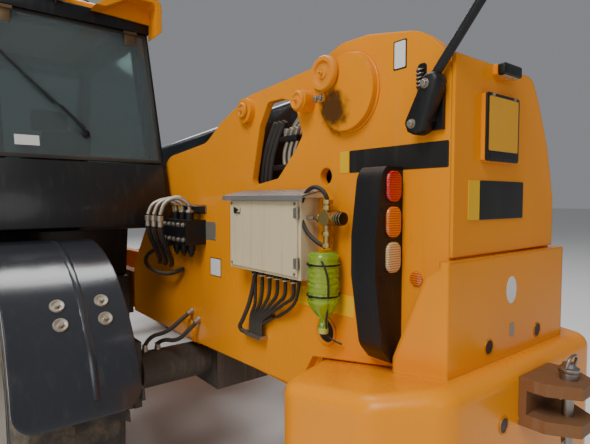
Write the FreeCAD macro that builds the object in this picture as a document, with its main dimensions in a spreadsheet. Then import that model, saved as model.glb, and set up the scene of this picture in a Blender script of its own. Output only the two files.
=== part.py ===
import FreeCAD, Part
import math
import os
import types
import Sketcher

# Telehandler at its real size, in millimetres.
# +X is forward, +Y is the left (cab) side, +Z is up and the ground is z = 0.

# Each row is a name, a value in millimetres or degrees, and what it is.
SIZES = [
    ("rear_x", -3607.27, "rear face of the chassis plates"),
    ("plate_gap", 540, "clear width between the two tower plates"),
    ("plate_wall", 30, "thickness of a tower plate"),
    ("plate_round", 150, "rounding of the tower plates' upper outline"),
    ("slot_round", 25, "rounding of the hose slot"),
    ("plate_lean", 45, "forward lean of the right plate's rear edge"),
    ("lean_low", 1530, "where that lean begins, above the ground"),
    ("pivot_back", 470, "boom pivot, forward of the rear face"),
    ("pivot_z", 1956, "boom pivot above the ground"),
    ("pivot_r", 48, "boom pivot pin"),
    ("boss_r", 126, "boss plate round the pivot"),
    ("boss_wall", 25, "thickness of the boss plate"),
    ("shoulder_z", 1990, "plate top ahead of the pivot"),
    ("rear_axle_back", 1680, "rear axle, forward of the rear face"),
    ("wheelbase", 2900, "rear axle to front axle"),
    ("track_half", 1000, "wheel centre from the middle"),
    ("tyre_r", 630, "tyre over its lugs"),
    ("tyre_wide", 400, "tyre section"),
    ("lug_high", 34, "lug height"),
    ("rim_r", 305, "rim seat"),
    ("rim_wide", 330, "rim over its flanges"),
    ("hub_r", 150, "planetary hub"),
    ("hub_out", 120, "hub face outside the wheel centre"),
    ("axle_tube_r", 95, "axle beam"),
    ("diff_high", 120, "top of the axle's middle above the wheel centre"),
    ("axle_half", 560, "axle beam's half length"),
    ("kingpin_y", 720, "steering axis from the middle"),
    ("kingpin_r", 38, "kingpin"),
    ("knuckle_r", 120, "knuckle housing"),
    ("knuckle_high", 250, "knuckle between the fork arms"),
    ("fork_wall", 35, "arm of the axle's end fork"),
    ("gap", 10, "running gap between moving pieces"),
    ("guard_r", 700, "mudguard's inner radius"),
    ("guard_wall", 12, "mudguard's thickness"),
    ("guard_wide", 430, "mudguard's width"),
    ("guard_round", 80, "rounding of the mudguard's corners"),
    ("guard_front_deg", 55, "mudguard's front end, from the top"),
    ("guard_rear_deg", 80, "mudguard's rear end, from the top"),
    ("rail_out", 270, "outer face of a chassis rail"),
    ("rail_wide", 70, "chassis rail's width"),
    ("rail_low", 770, "underside of the rails"),
    ("rail_high", 250, "height of the rails"),
    ("rail_front", 5560, "front end of the rails, from the rear face"),
    ("bumper_half", 580, "counterweight's half width"),
    ("bumper_low", 600, "underside of the counterweight"),
    ("bumper_top", 1060, "top of the counterweight's bumper at its back"),
    ("bumper_fall", 120, "fall of that top towards its front"),
    ("bumper_round", 110, "rounding of the bumper's corners"),
    ("brim_round", 45, "rounding of the bumper's upper edge"),
    ("bumper_front", 550, "front end of the counterweight"),
    ("bumper_back", 100, "counterweight behind the rear face"),
    ("bumper_corner", 150, "cut of the rear corners"),
    ("column_top", 1362, "top of the counterweight's column"),
    ("cheek_half", 345, "half width of the counterweight's column"),
    ("hitch_z", 950, "middle of the tow hitch"),
    ("hitch_gap", 70, "clear height between the jaws"),
    ("jaw_wall", 35, "thickness of a jaw"),
    ("jaw_half", 95, "half width of the hitch"),
    ("hitch_back", 95, "hitch pin behind the counterweight"),
    ("hitch_pin_r", 15, "tow pin"),
    ("plate_rear_top", 1930, "rear edge of the tower plates, at its top"),
    ("plate_front_top", 1770, "tower plate's top where the boom leaves it"),
    ("plate_long", 2440, "tower plate's front end, from the rear face"),
    ("slot_back", 630, "hose slot, from the rear face"),
    ("slot_long", 350, "hose slot's length"),
    ("slot_low", 1585, "hose slot's lower edge"),
    ("slot_high", 340, "hose slot's height"),
    ("eye_back", 1002, "levelling cylinder's pin, from the rear face"),
    ("eye_z", 1910, "levelling cylinder's pin above the ground"),
    ("eye_r", 25, "levelling cylinder's pin"),
    ("port_back", 500, "round port in the plate, from the rear face"),
    ("port_z", 1610, "round port above the ground"),
    ("port_r", 30, "round port"),
    ("brace_back", 760, "cross tube between the plates, from the rear face"),
    ("brace_z", 1400, "cross tube above the ground"),
    ("brace_r", 55, "cross tube"),
    ("panel_wall", 12, "rear panel"),
    ("panel_low", 1370, "rear panel's lower edge"),
    ("panel_lean", 170, "how far the panel's upper right corner lies in"),
    ("panel_round", 60, "rounding of that corner"),
    ("stay_back", 596, "round boss behind the slot, from the rear face"),
    ("stay_z", 1885, "that boss above the ground"),
    ("stay_r", 40, "that boss"),
    ("cover_back", 230, "round cover at the plate's foot, from the rear face"),
    ("cover_z", 1080, "that cover above the ground"),
    ("cover_r", 68, "that cover"),
    ("cross_mid_back", 2500, "middle cross member, from the rear face"),
    ("cross_front_back", 4000, "front cross member, from the rear face"),
    ("beam_half", 410, "stabiliser beam's half width"),
    ("fork_round", 52, "rounded end of a fork arm, about the kingpin"),
    ("seat", 0.3, "clearance where a turning face meets its carrier"),
    ("strap_out", 58, "mudguard strap, outside the kingpin"),
    ("strap_wall", 12, "mudguard strap's thickness"),
    ("strap_rise", 140, "mudguard strap's rear arm, above the axle"),
    ("strap_arm", 45, "mudguard strap's rear arm, its height"),
    ("lip_deep", 50, "mudguard's turned-down inner lip"),
    ("lug_count", 18, "lugs on each shoulder of a tyre"),
    ("lug_reach", 70, "half of a lug's length round the tyre"),
    ("lug_thick", 44, "lug's thickness"),
    ("disc_inset", 45, "wheel disc outside the wheel centre"),
    ("disc_wall", 18, "wheel disc"),
    ("cab_in", 330, "cab's inner face from the middle"),
    ("cab_out", 1190, "cab's outer face from the middle"),
    ("cab_wall", 60, "cab wall and door"),
    ("cab_floor", 1000, "underside of the cab floor"),
    ("cab_sill", 1370, "underside of the cab over the rear wheel"),
    ("cab_top", 2560, "top of the cab frame"),
    ("cab_back", 1740, "rear foot of the cab, from the rear face"),
    ("cab_back_top", 2090, "rear edge of the cab's top, from the rear face"),
    ("cab_step_back", 2520, "rear of the cab's low part, from the rear face"),
    ("cab_front", 3560, "front foot of the cab, from the rear face"),
    ("cab_front_top", 3330, "front edge of the cab's top, from the rear face"),
    ("window_sill", 100, "lower edge of the windows above the cab's rear sill"),
    ("window_head", 80, "upper edge of the windows below the cab's top"),
    ("cab_round", 55, "rounding of the cab's lower corners"),
    ("glass_wall", 6, "window glass"),
    ("door_gap", 6, "gap round the door"),
    ("roof_wall", 95, "cab roof's thickness"),
    ("roof_round", 18, "rounding of the roof's upper edges"),
    ("visor_rise", 130, "top of the roof's rear hood above the cab's frame"),
    ("visor_wide", 175, "width of that hood"),
    ("visor_wall", 34, "thickness of that hood"),
    ("visor_deep", 120, "how far that hood stands back of the roof"),
    ("tank_low", 600, "underside of the hydraulic tank"),
    ("tank_out", 1120, "outer face of the tank"),
    ("tank_round", 60, "rounding of the tank's lower edges"),
    ("pod_back", 2560, "engine pod's rear, from the rear face"),
    ("pod_long", 1140, "engine pod's length"),
    ("pod_in", 350, "engine pod's inner face from the middle"),
    ("pod_out", 1160, "engine pod's outer face"),
    ("pod_low", 600, "underside of the engine pod"),
    ("pod_split", 1200, "joint between the pod and its cover"),
    ("pod_top", 1520, "top of the engine cover"),
    ("pod_wall", 30, "pod and cover walls"),
    ("pod_round", 45, "rounding of the pod's and cover's long edges"),
    ("grille_edge", 150, "plain edge round the pod's grille"),
    ("grille_count", 11, "slots in the pod's grille"),
    ("boom_slope", 3.2, "boom's downward slope at rest, in degrees"),
    ("boom_wide", 320, "outer boom section's width"),
    ("boom_deep", 400, "outer boom section's depth"),
    ("boom_wall", 12, "wall of the boom sections"),
    ("boom_round", 32, "rounding of a section's long edges"),
    ("boom_top", 30, "boom's top above the pivot"),
    ("boom_start", 300, "outer section's rear end, ahead of the pivot"),
    ("boom_end", 4840, "outer section's front end, ahead of the pivot"),
    ("collar_wall", 14, "collar round the outer section's mouth"),
    ("collar_long", 150, "length of that collar"),
    ("lift_gland", 6, "gland ring proud of the lift cylinder's barrel"),
    ("tilt_gland", 1, "gland ring proud of the tilt cylinder's barrel"),
    ("section_gap", 12, "space between two boom sections"),
    ("section_step", 180, "how far a section stands out of the one round it"),
    ("section_hidden", 600, "rear end of a section inside the one round it"),
    ("nose_drop", 1139, "carriage pivot below the boom pivot, across the boom"),
    ("nose_reach", 5702, "carriage pivot ahead of the boom pivot, along the boom"),
    ("nose_half", 100, "half width of the boom's nose"),
    ("cheek_wall", 20, "nose cheek"),
    ("tilt_pin_r", 30, "carriage pivot pin"),
    ("tilt_back", 372, "tilt cylinder's pin behind the carriage pivot, along the boom"),
    ("tilt_above", 989, "tilt cylinder's pin above the carriage pivot, across the boom"),
    ("lever_back", 60, "tilt lever's eye ahead of the carriage pivot"),
    ("lever_up", 300, "tilt lever's eye above the carriage pivot"),
    ("tilt_barrel_r", 45, "tilt cylinder"),
    ("tilt_rod_r", 25, "tilt cylinder's rod"),
    ("tilt_bare_rod", 86, "bare rod of the tilt cylinder at rest"),
    ("tilt_spare", 78, "room behind the tilt cylinder's piston at rest"),
    ("lift_back", 800, "lift cylinder's foot, from the rear face"),
    ("lift_low", 850, "lift cylinder's foot above the ground"),
    ("lift_eye_u", 1860, "lift cylinder's eye on the boom, ahead of the pivot"),
    ("lift_eye_w", 470, "lift cylinder's eye below the pivot"),
    ("lift_barrel_r", 80, "lift cylinder"),
    ("lift_rod_r", 45, "lift cylinder's rod"),
    ("lift_bare_rod", 60, "bare rod of the lift cylinder at rest"),
    ("lift_spare", 20, "room behind the lift cylinder's piston at rest"),
    ("eye_ring_r", 62, "cylinder's end eyes"),
    ("lift_pin_r", 35, "lift cylinder's pins"),
    ("carriage_half", 630, "half width of the fork carriage"),
    ("carriage_ahead", 130, "carriage's rear face ahead of its pivot"),
    ("carriage_low", 75, "underside of the carriage"),
    ("carriage_top", 1150, "top of the load guard"),
    ("bar_wall", 40, "carriage bars"),
    ("tine_long", 1150, "fork tine ahead of its shank"),
    ("tine_wide", 125, "fork tine's width"),
    ("tine_wall", 45, "fork tine's thickness"),
    ("tine_out", 330, "fork tine's middle from the machine's middle"),
    ("leg_in", 350, "stabiliser leg's pivot from the middle"),
    ("leg_z", 750, "stabiliser leg's pivot above the ground"),
    ("leg_long", 820, "stabiliser leg from its pivot to its pad"),
    ("leg_rise", 8, "stabiliser leg's upward slope when folded, in degrees"),
    ("leg_swing", 70, "stabiliser leg's travel, in degrees"),
    ("pad_half", 105, "half length of a stabiliser pad"),
    ("pad_wall", 15, "stabiliser pad's thickness"),
    ("leg_pin_r", 25, "stabiliser leg's pin"),
    ("box_back", 540, "electrical box, from the rear face"),
    ("box_long", 480, "electrical box's length"),
    ("box_low", 1240, "underside of the electrical box"),
    ("box_high", 295, "electrical box's height"),
    ("box_deep", 82, "electrical box's depth"),
    ("lamp_back", 160, "rear lamp's face, ahead of the rear face"),
    ("lamp_deep", 95, "rear lamp housing's depth"),
    ("lamp_wide", 120, "rear lamp housing's width"),
    ("lamp_low", 1040, "underside of the rear lamp housing"),
    ("lamp_high", 585, "rear lamp housing's height"),
    ("bottle_back", 385, "washer bottle, from the rear face"),
    ("bottle_low", 1125, "underside of the washer bottle"),
    ("bottle_high", 230, "washer bottle's height"),
    ("valve_back", 1400, "valve block, from the rear face"),
    ("valve_low", 1300, "underside of the valve block"),
    ("isolator_back", 443, "battery isolator, from the rear face"),
    ("isolator_z", 1465, "battery isolator above the ground"),
    ("lamp_round", 60, "rounding of the lamp housing's bowed side"),
    ("lens_high", 92, "height of a rear lens"),
    ("lens_wide", 62, "width of a rear lens"),
    ("lens_gap", 12, "space between two rear lenses"),
    ("lens_inset", 14, "rear lens outside the plate"),
    ("lens_proud", 8, "rear lens proud of its housing"),
    ("mirror_top", 2330, "top of the rear mirror"),
    ("mirror_high", 110, "height of the rear mirror"),
    ("mirror_foot", 1785, "middle of the mirror arm's clamp"),
    ("mirror_reach", 225, "how far back the mirror's arm leans"),
    ("mirror_arm_r", 13, "mirror's arm"),
    ("pipe_r", 11, "steel pipes in the slot"),
    ("cable_r", 7, "cables under the electrical box"),
]


class Size:
    """A length that knows its number and the sheet expression that gives it."""

    def __init__(self, number, text):
        self.number = float(number)
        self.text = text

    def __add__(self, other):
        other = as_size(other)
        return Size(self.number + other.number, f"({self.text} + {other.text})")

    def __sub__(self, other):
        other = as_size(other)
        return Size(self.number - other.number, f"({self.text} - {other.text})")

    def __mul__(self, other):
        other = as_size(other)
        return Size(self.number * other.number, f"({self.text} * {other.text})")

    def __truediv__(self, other):
        other = as_size(other)
        return Size(self.number / other.number, f"({self.text} / {other.text})")

    def __neg__(self):
        return Size(-self.number, f"(-1 * {self.text})")

    __radd__ = __add__
    __rmul__ = __mul__

    def __rsub__(self, other):
        return as_size(other) - self


def as_size(value):
    if isinstance(value, Size):
        return value
    return Size(value, f"({float(value):.6f})")


def cosine(angle):
    return Size(math.cos(math.radians(angle.number)), f"cos({angle.text} * 1 deg)")


def sine(angle):
    return Size(math.sin(math.radians(angle.number)), f"sin({angle.text} * 1 deg)")


def root(value):
    return Size(math.sqrt(value.number), f"sqrt({value.text})")


def angle_of(rise, run):
    """Direction of a line in degrees."""
    number = math.degrees(math.atan2(rise.number, run.number))
    return Size(number, f"(atan2({rise.text}; {run.text}) / 1 deg)")


doc = FreeCAD.newDocument("telehandler")
sheet = doc.addObject("Spreadsheet::Sheet", "Sizes")


def read_sizes():
    """Fill the sheet and return its cells by name."""
    for row, (name, value, meaning) in enumerate(SIZES, start=1):
        sheet.set(f"A{row}", meaning)
        sheet.set(f"B{row}", str(value))
        sheet.setAlias(f"B{row}", name)
    doc.recompute()
    cells = {name: Size(sheet.get(name), f"Sizes.{name}") for name, _, _ in SIZES}
    return types.SimpleNamespace(**cells)


s = read_sizes()
nodes = {}


def bind(obj, **sizes):
    for name, value in sizes.items():
        obj.setExpression(name, as_size(value).text)


def ordered(span):
    low, high = as_size(span[0]), as_size(span[1])
    return (low, high) if low.number <= high.number else (high, low)


def box(name, x, y, z):
    """A block between two values on each axis."""
    obj = doc.addObject("Part::Box", name)
    for edge, axis, span in (("Length", "x", x), ("Width", "y", y), ("Height", "z", z)):
        low, high = ordered(span)
        obj.setExpression(edge, (high - low).text)
        obj.setExpression(f"Placement.Base.{axis}", low.text)
    return obj


TURNS = {
    "x": FreeCAD.Rotation(FreeCAD.Vector(0, 1, 0), 90),
    "y": FreeCAD.Rotation(FreeCAD.Vector(1, 0, 0), -90),
    "z": FreeCAD.Rotation(),
}


def cylinder(name, axis, across, radius, span):
    """A round bar along an axis; across holds its other two coordinates in order."""
    obj = doc.addObject("Part::Cylinder", name)
    obj.Placement = FreeCAD.Placement(FreeCAD.Vector(), TURNS[axis])
    low, high = ordered(span)
    obj.setExpression("Radius", as_size(radius).text)
    obj.setExpression("Height", (high - low).text)
    others = [letter for letter in "xyz" if letter != axis]
    obj.setExpression(f"Placement.Base.{axis}", low.text)
    for letter, value in zip(others, across):
        obj.setExpression(f"Placement.Base.{letter}", as_size(value).text)
    return obj


def sketch_on(body, name, role, outlines, holes):
    """A sketch whose corners and round holes are all set by the sheet."""
    sketch = body.newObject("Sketcher::SketchObject", name)
    plane = [item for item in body.Origin.OriginFeatures if item.Role == role][0]
    sketch.AttachmentSupport = [(plane, "")]
    sketch.MapMode = "FlatFace"
    for outline in outlines:
        corners = [(as_size(u), as_size(v)) for u, v in outline]
        first = sketch.GeometryCount
        for index, (u, v) in enumerate(corners):
            after_u, after_v = corners[(index + 1) % len(corners)]
            start = FreeCAD.Vector(u.number, v.number, 0)
            end = FreeCAD.Vector(after_u.number, after_v.number, 0)
            sketch.addGeometry(Part.LineSegment(start, end), False)
        for index, (u, v) in enumerate(corners):
            line = first + index
            after = first + (index + 1) % len(corners)
            sketch.addConstraint(Sketcher.Constraint("Coincident", line, 2, after, 1))
            for kind, value in (("DistanceX", u), ("DistanceY", v)):
                made = Sketcher.Constraint(kind, -1, 1, line, 1, value.number)
                number = sketch.addConstraint(made)
                sketch.setExpression(f"Constraints[{number}]", value.text)
    for u, v, radius in holes:
        u, v, radius = as_size(u), as_size(v), as_size(radius)
        centre = FreeCAD.Vector(u.number, v.number, 0)
        up = FreeCAD.Vector(0, 0, 1)
        circle = sketch.addGeometry(Part.Circle(centre, up, radius.number), False)
        for made, value in (
            (Sketcher.Constraint("DistanceX", -1, 1, circle, 3, u.number), u),
            (Sketcher.Constraint("DistanceY", -1, 1, circle, 3, v.number), v),
            (Sketcher.Constraint("Radius", circle, radius.number), radius),
        ):
            number = sketch.addConstraint(made)
            sketch.setExpression(f"Constraints[{number}]", value.text)
    return sketch


ROLES = {"x": "YZ_Plane", "y": "XZ_Plane", "z": "XY_Plane"}


def prism(name, axis, outlines, span, holes=()):
    """A body padded along an axis from closed outlines in the other two coordinates."""
    body = doc.addObject("PartDesign::Body", name)
    if not isinstance(outlines[0], list):
        outlines = [outlines]
    sketch = sketch_on(body, name + "_outline", ROLES[axis], outlines, holes)
    low, high = ordered(span)
    offset = -high if axis == "y" else low
    sketch.setExpression("AttachmentOffset.Base.z", offset.text)
    pad = body.newObject("PartDesign::Pad", name + "_pad")
    pad.Profile = sketch
    pad.setExpression("Length", (high - low).text)
    sketch.Visibility = False
    return body


def runs(axis, where):
    """A test for straight edges along an axis whose middle passes another test."""
    def test(edge):
        start = edge.Vertexes[0].Point
        end = edge.Vertexes[-1].Point
        across = [abs(getattr(end - start, letter)) for letter in "xyz" if letter != axis]
        return edge.Length > 1 and max(across) < 0.01 and where((start + end) / 2)
    return test


def above(level):
    return lambda middle: middle.z > as_size(level).number


def below(level):
    return lambda middle: middle.z < as_size(level).number


def rounded(body, name, radius, picks):
    """Round the edges of a body that a test picks."""
    body.recompute(True)
    base = body.Tip
    edges = [f"Edge{number}" for number, edge in enumerate(base.Shape.Edges, start=1) if picks(edge)]
    fillet = body.newObject("PartDesign::Fillet", name)
    fillet.Base = (base, edges)
    fillet.setExpression("Radius", as_size(radius).text)
    return body


def soften(name, obj, radius, picks):
    """Round picked edges of a solid that is made of others."""
    obj.recompute(True)
    edges = [number for number, edge in enumerate(obj.Shape.Edges, start=1) if picks(edge)]
    made = doc.addObject("Part::Fillet", name)
    made.Base = obj
    made.Edges = [(number, as_size(radius).number, as_size(radius).number) for number in edges]
    return made


def pocket(body, name, axis, outline):
    """Cut an outline right through a body, both ways along an axis."""
    sketch = sketch_on(body, name + "_outline", ROLES[axis], [outline], ())
    made = body.newObject("PartDesign::Pocket", name)
    made.Profile = sketch
    made.Type = "ThroughAll"
    made.Midplane = True
    sketch.Visibility = False
    return body


def turned(name, outline):
    """A body turned about the Y axis from an outline of (radius, y) corners."""
    body = doc.addObject("PartDesign::Body", name)
    sketch = sketch_on(body, name + "_section", "XY_Plane", [outline], ())
    turn = body.newObject("PartDesign::Revolution", name + "_turn")
    turn.Profile = sketch
    turn.ReferenceAxis = (sketch, ["V_Axis"])
    turn.Angle = 360
    return body


def fuse(name, pieces, merge_faces=True):
    obj = doc.addObject("Part::MultiFuse", name)
    obj.Shapes = pieces
    obj.Refine = merge_faces
    return obj


def cut(name, base, tool):
    obj = doc.addObject("Part::Cut", name)
    obj.Base = base
    obj.Tool = tool if not isinstance(tool, list) else fuse(name + "_tools", tool)
    obj.Refine = True
    return obj


def place(obj, x, y, z, axis=(0, 1, 0), angle=0):
    """Set a piece drawn about the origin in its place."""
    x, y, z, angle = as_size(x), as_size(y), as_size(z), as_size(angle)
    turn = f"rotation(vector({axis[0]}; {axis[1]}; {axis[2]}); {angle.text})"
    obj.setExpression("Placement", f"placement(vector({x.text}; {y.text}; {z.text}); {turn})")
    return obj


def node(name, obj):
    obj.Label = name
    nodes[name] = obj
    return obj


def group(name, pieces):
    """Like pieces of one body that share a node."""
    obj = doc.addObject("Part::Compound", name + "_set")
    obj.Links = pieces
    return node(name, obj)


def forward(distance):
    """X of a point this far ahead of the rear face."""
    return s.rear_x + distance


plate_in = s.plate_gap / 2
plate_out = plate_in + s.plate_wall
lug_top = root(s.tyre_r * s.tyre_r - s.lug_reach * s.lug_reach)
rail_top = s.rail_low + s.rail_high
axle_z = lug_top
rear_axle_x = forward(s.rear_axle_back)
front_axle_x = rear_axle_x + s.wheelbase
pivot_x = forward(s.pivot_back)
SIDES = (("left", 1), ("right", -1))


def bumper_height(back):
    """Top of the counterweight's bumper, this far ahead of the rear face."""
    share = (s.bumper_front - back) / (s.bumper_front + s.bumper_back)
    return s.bumper_top - s.bumper_fall + s.bumper_fall * share


def tower_plates():
    """The two tall plates that carry the boom's pivot, with a slot for the hoses."""
    rear = s.rear_x
    rise = s.plate_rear_top + 80
    foot = forward(s.bumper_front) + 20
    slot_front = forward(s.slot_back + s.slot_long)
    top = [
        (forward(105), rise),
        (forward(300), s.pivot_z + 94),
        (forward(430), s.pivot_z + 98),
        (forward(550), s.shoulder_z + 15),
        (forward(1010), s.shoulder_z - 15),
        (forward(1230), s.shoulder_z - 95),
        (forward(1390), s.plate_front_top + 40),
        (forward(1850), s.plate_front_top),
        (forward(s.plate_long), s.rail_low + s.rail_high + 60),
        (forward(s.plate_long), s.rail_low),
        (forward(1570), s.rail_low),
        (foot + 90, s.rail_low + 30),
        (foot, bumper_height(s.bumper_front) + s.gap / 2),
        (rear, bumper_height(as_size(0)) + s.gap / 2),
    ]
    rear_edges = {
        "left": [(rear, s.plate_rear_top)],
        "right": [(rear, s.lean_low), (rear + s.plate_lean, rise - 140)],
    }
    slot = [
        (slot_front, s.slot_low),
        (slot_front - 65, s.slot_low + s.slot_high * 0.73),
        (slot_front - 125, s.slot_low + s.slot_high),
        (slot_front - 220, s.slot_low + s.slot_high),
        (forward(s.slot_back) + 50, s.slot_low + s.slot_high * 0.92),
        (forward(s.slot_back), s.slot_low + s.slot_high * 0.54),
        (forward(s.slot_back) + 45, s.slot_low + s.slot_high * 0.38),
        (forward(s.slot_back) + 155, s.slot_low + s.slot_high * 0.08),
    ]
    bores = {
        "pivot": (pivot_x, s.pivot_z, s.pivot_r),
        "eye": (forward(s.eye_back), s.eye_z, s.eye_r),
        "port": (forward(s.port_back), s.port_z, s.port_r),
    }
    slot_from = forward(s.slot_back - 5).number
    slot_to = slot_front.number + 5
    slot_top = (s.slot_low + s.slot_high).number + 5

    def in_slot(middle):
        return slot_from < middle.x < slot_to and middle.z < slot_top

    def on_top(middle):
        return middle.z > s.plate_front_top.number - 5 and not in_slot(middle)

    for side, sign in SIDES:
        span = (plate_in * sign, plate_out * sign)
        plate = prism(f"tower_{side}", "y", [rear_edges[side] + top, slot], span)
        rounded(plate, f"tower_round_{side}", s.plate_round, runs("y", on_top))
        rounded(plate, f"slot_round_{side}", s.slot_round, runs("y", in_slot))
        ring_span = (plate_out * sign, (plate_out + s.boss_wall) * sign)
        ring = cylinder(f"boss_{side}", "y", (pivot_x - 85, s.pivot_z - 75), s.boss_r, ring_span)
        eye = cylinder(f"eye_ring_{side}", "y", (forward(s.eye_back), s.eye_z), s.eye_r + 28, ring_span)
        knob = cylinder(f"stay_boss_{side}", "y", (forward(s.stay_back), s.stay_z), s.stay_r,
                        (plate_out * sign, (plate_out + s.boss_wall * 2) * sign))
        disc = cylinder(f"port_cover_{side}", "y", (forward(s.cover_back), s.cover_z), s.cover_r,
                        (plate_out * sign, (plate_out + s.boss_wall / 2) * sign))
        lamp = box(f"lamp_room_{side}", (forward(s.lamp_back), forward(s.lamp_back + s.lamp_deep)),
                   (plate_out * sign, (plate_out + s.boss_wall) * sign),
                   (s.lamp_low, s.cover_z + s.cover_r * 2))
        cover = cut(f"port_cover_cut_{side}", disc, lamp)
        whole = fuse(f"tower_whole_{side}", [plate, ring, eye, knob, cover])
        through = (plate_in * sign, ring_span[1])
        tools = [cylinder(f"{label}_bore_{side}", "y", (x, z), radius, through)
                 for label, (x, z, radius) in bores.items()]
        node(f"tower_plate_{side}", cut(f"tower_cut_{side}", whole, tools))
    head = plate_out + s.boss_wall + 6
    pins = [cylinder("pivot_pin", "y", (pivot_x, s.pivot_z), s.pivot_r, (-head, head))]
    for side, sign in SIDES:
        stub = (plate_in * sign, (head - 2) * sign)
        eye = (forward(s.eye_back), s.eye_z)
        pins.append(cylinder(f"levelling_pin_{side}", "y", eye, s.eye_r, stub))
    brace = (forward(s.brace_back), s.brace_z)
    pins.append(cylinder("brace_tube", "y", brace, s.brace_r, (-plate_in, plate_in)))
    group("tower_pins", pins)


def rear_panel():
    """The cover between the towers at the back; its upper right edge leans in to a closing plate."""
    x = (s.rear_x - s.panel_wall, s.rear_x)
    half = plate_out
    top = s.plate_rear_top - 10
    rise = top - s.lean_low
    outline = [
        (-half, s.panel_low),
        (half, s.panel_low),
        (half, top),
        (s.panel_lean - half, top),
        (s.panel_lean * 0.7 - half, s.lean_low + rise * 0.8),
        (s.panel_lean * 0.3 - half, s.lean_low + rise * 0.45),
        (-half, s.lean_low),
    ]

    def leaning(middle):
        return middle.z > s.lean_low.number - 5 and middle.y < 0

    panel = rounded(prism("panel", "x", outline, x), "panel_round", s.panel_round, runs("x", leaning))
    frame_x = (s.rear_x - s.panel_wall - 14, s.rear_x - s.panel_wall)
    frame = box("plate_frame", frame_x, (-10, 172), (s.panel_low + 270, s.panel_low + 460))
    lamp = box("plate_lamp", frame_x, (5, 112), (s.panel_low + 520, s.panel_low + 550))
    depth = s.plate_lean + 10
    cover = box("panel_cover", (s.rear_x, s.rear_x + depth), (s.panel_lean - half, plate_in - 5),
                (top - s.panel_wall, top))
    closing = box("panel_closing", (s.rear_x + depth - s.panel_wall, s.rear_x + depth),
                  (-plate_in + 5, plate_in - 5), (s.lean_low, top))
    node("rear_panel", fuse("rear_panel_whole", [panel, frame, lamp, cover, closing]))


def counterweight():
    """The cast weight: a narrow column that runs down into a wide, rounded bumper."""
    back = s.rear_x - s.bumper_back
    front = forward(s.bumper_front)
    half = s.bumper_half
    corner = s.bumper_corner
    footprint = [
        (front, s.rail_out),
        (front - 140, half),
        (back + corner, half),
        (back, half - corner),
        (back, corner - half),
        (back + corner, -half),
        (front - 140, -half),
        (front, -s.rail_out),
    ]
    over = [
        (back - 1, s.bumper_top),
        (front + 1, s.bumper_top - s.bumper_fall),
        (front + 1, s.bumper_top + 1),
        (back - 1, s.bumper_top + 1),
    ]
    brim = (s.bumper_top - s.bumper_fall).number - 5

    def outside(middle):
        return middle.z < s.bumper_top.number and abs(middle.y) > s.rail_out.number + 5

    def on_brim(edge):
        middle = edge.BoundBox.Center
        low = edge.BoundBox.ZMin
        return low > brim and middle.x < front.number - 5

    bumper = prism("bumper", "z", footprint, (s.bumper_low, s.bumper_top))
    pocket(bumper, "bumper_slope", "y", over)
    rounded(bumper, "bumper_corners", s.bumper_round, runs("z", outside))
    rounded(bumper, "bumper_brim", s.brim_round, on_brim)
    pieces = [bumper]
    face = s.rear_x - s.panel_wall - 20
    foot = s.bumper_top - s.bumper_fall
    pieces.append(box("weight_slab", (face, s.rear_x), (-s.cheek_half, s.cheek_half), (foot, s.column_top)))
    side_view = [
        (face, foot),
        (forward(s.lamp_back) - 5, foot),
        (forward(s.lamp_back) - 5, s.bumper_top),
        (forward(45), s.column_top - 45),
        (face, s.column_top),
    ]
    for side, sign in SIDES:
        cheek = prism(f"weight_cheek_{side}", "y", side_view, (plate_out * sign, s.cheek_half * sign))
        pieces.append(cheek)
    node("counterweight", fuse("weight_whole", pieces))


def tow_hitch():
    """Two jaws on the counterweight's back with an upright pin through them."""
    back = s.rear_x - s.bumper_back
    pin_x = back - s.hitch_back
    jaws = []
    for label, sign in (("upper", 1), ("lower", -1)):
        inner = s.hitch_z + s.hitch_gap / 2 * sign
        outer = inner + s.jaw_wall * sign
        outline = [
            (back, s.jaw_half),
            (pin_x + 20, s.jaw_half),
            (pin_x - 55, s.jaw_half - 50),
            (pin_x - 55, 50 - s.jaw_half),
            (pin_x + 20, -s.jaw_half),
            (back, -s.jaw_half),
        ]
        hole = [(pin_x, 0, s.hitch_pin_r)]
        jaws.append(prism(f"jaw_{label}", "z", outline, (inner, outer), hole))
    reach = s.hitch_gap / 2 + s.jaw_wall
    back_plate = box("hitch_back_plate", (back, back - 22), (-s.jaw_half, s.jaw_half),
                     (s.hitch_z - reach, s.hitch_z + reach))
    node("tow_hitch", fuse("hitch_whole", jaws + [back_plate]))
    shank = cylinder("hitch_pin_shank", "z", (pin_x, 0), s.hitch_pin_r - 0.05,
                     (s.hitch_z - reach - 45, s.hitch_z + reach + 30))
    head = cylinder("hitch_pin_head", "z", (pin_x, 0), s.hitch_pin_r + 9,
                    (s.hitch_z + reach, s.hitch_z + reach + 22))
    node("tow_pin", fuse("tow_pin_whole", [shank, head]))


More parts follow.
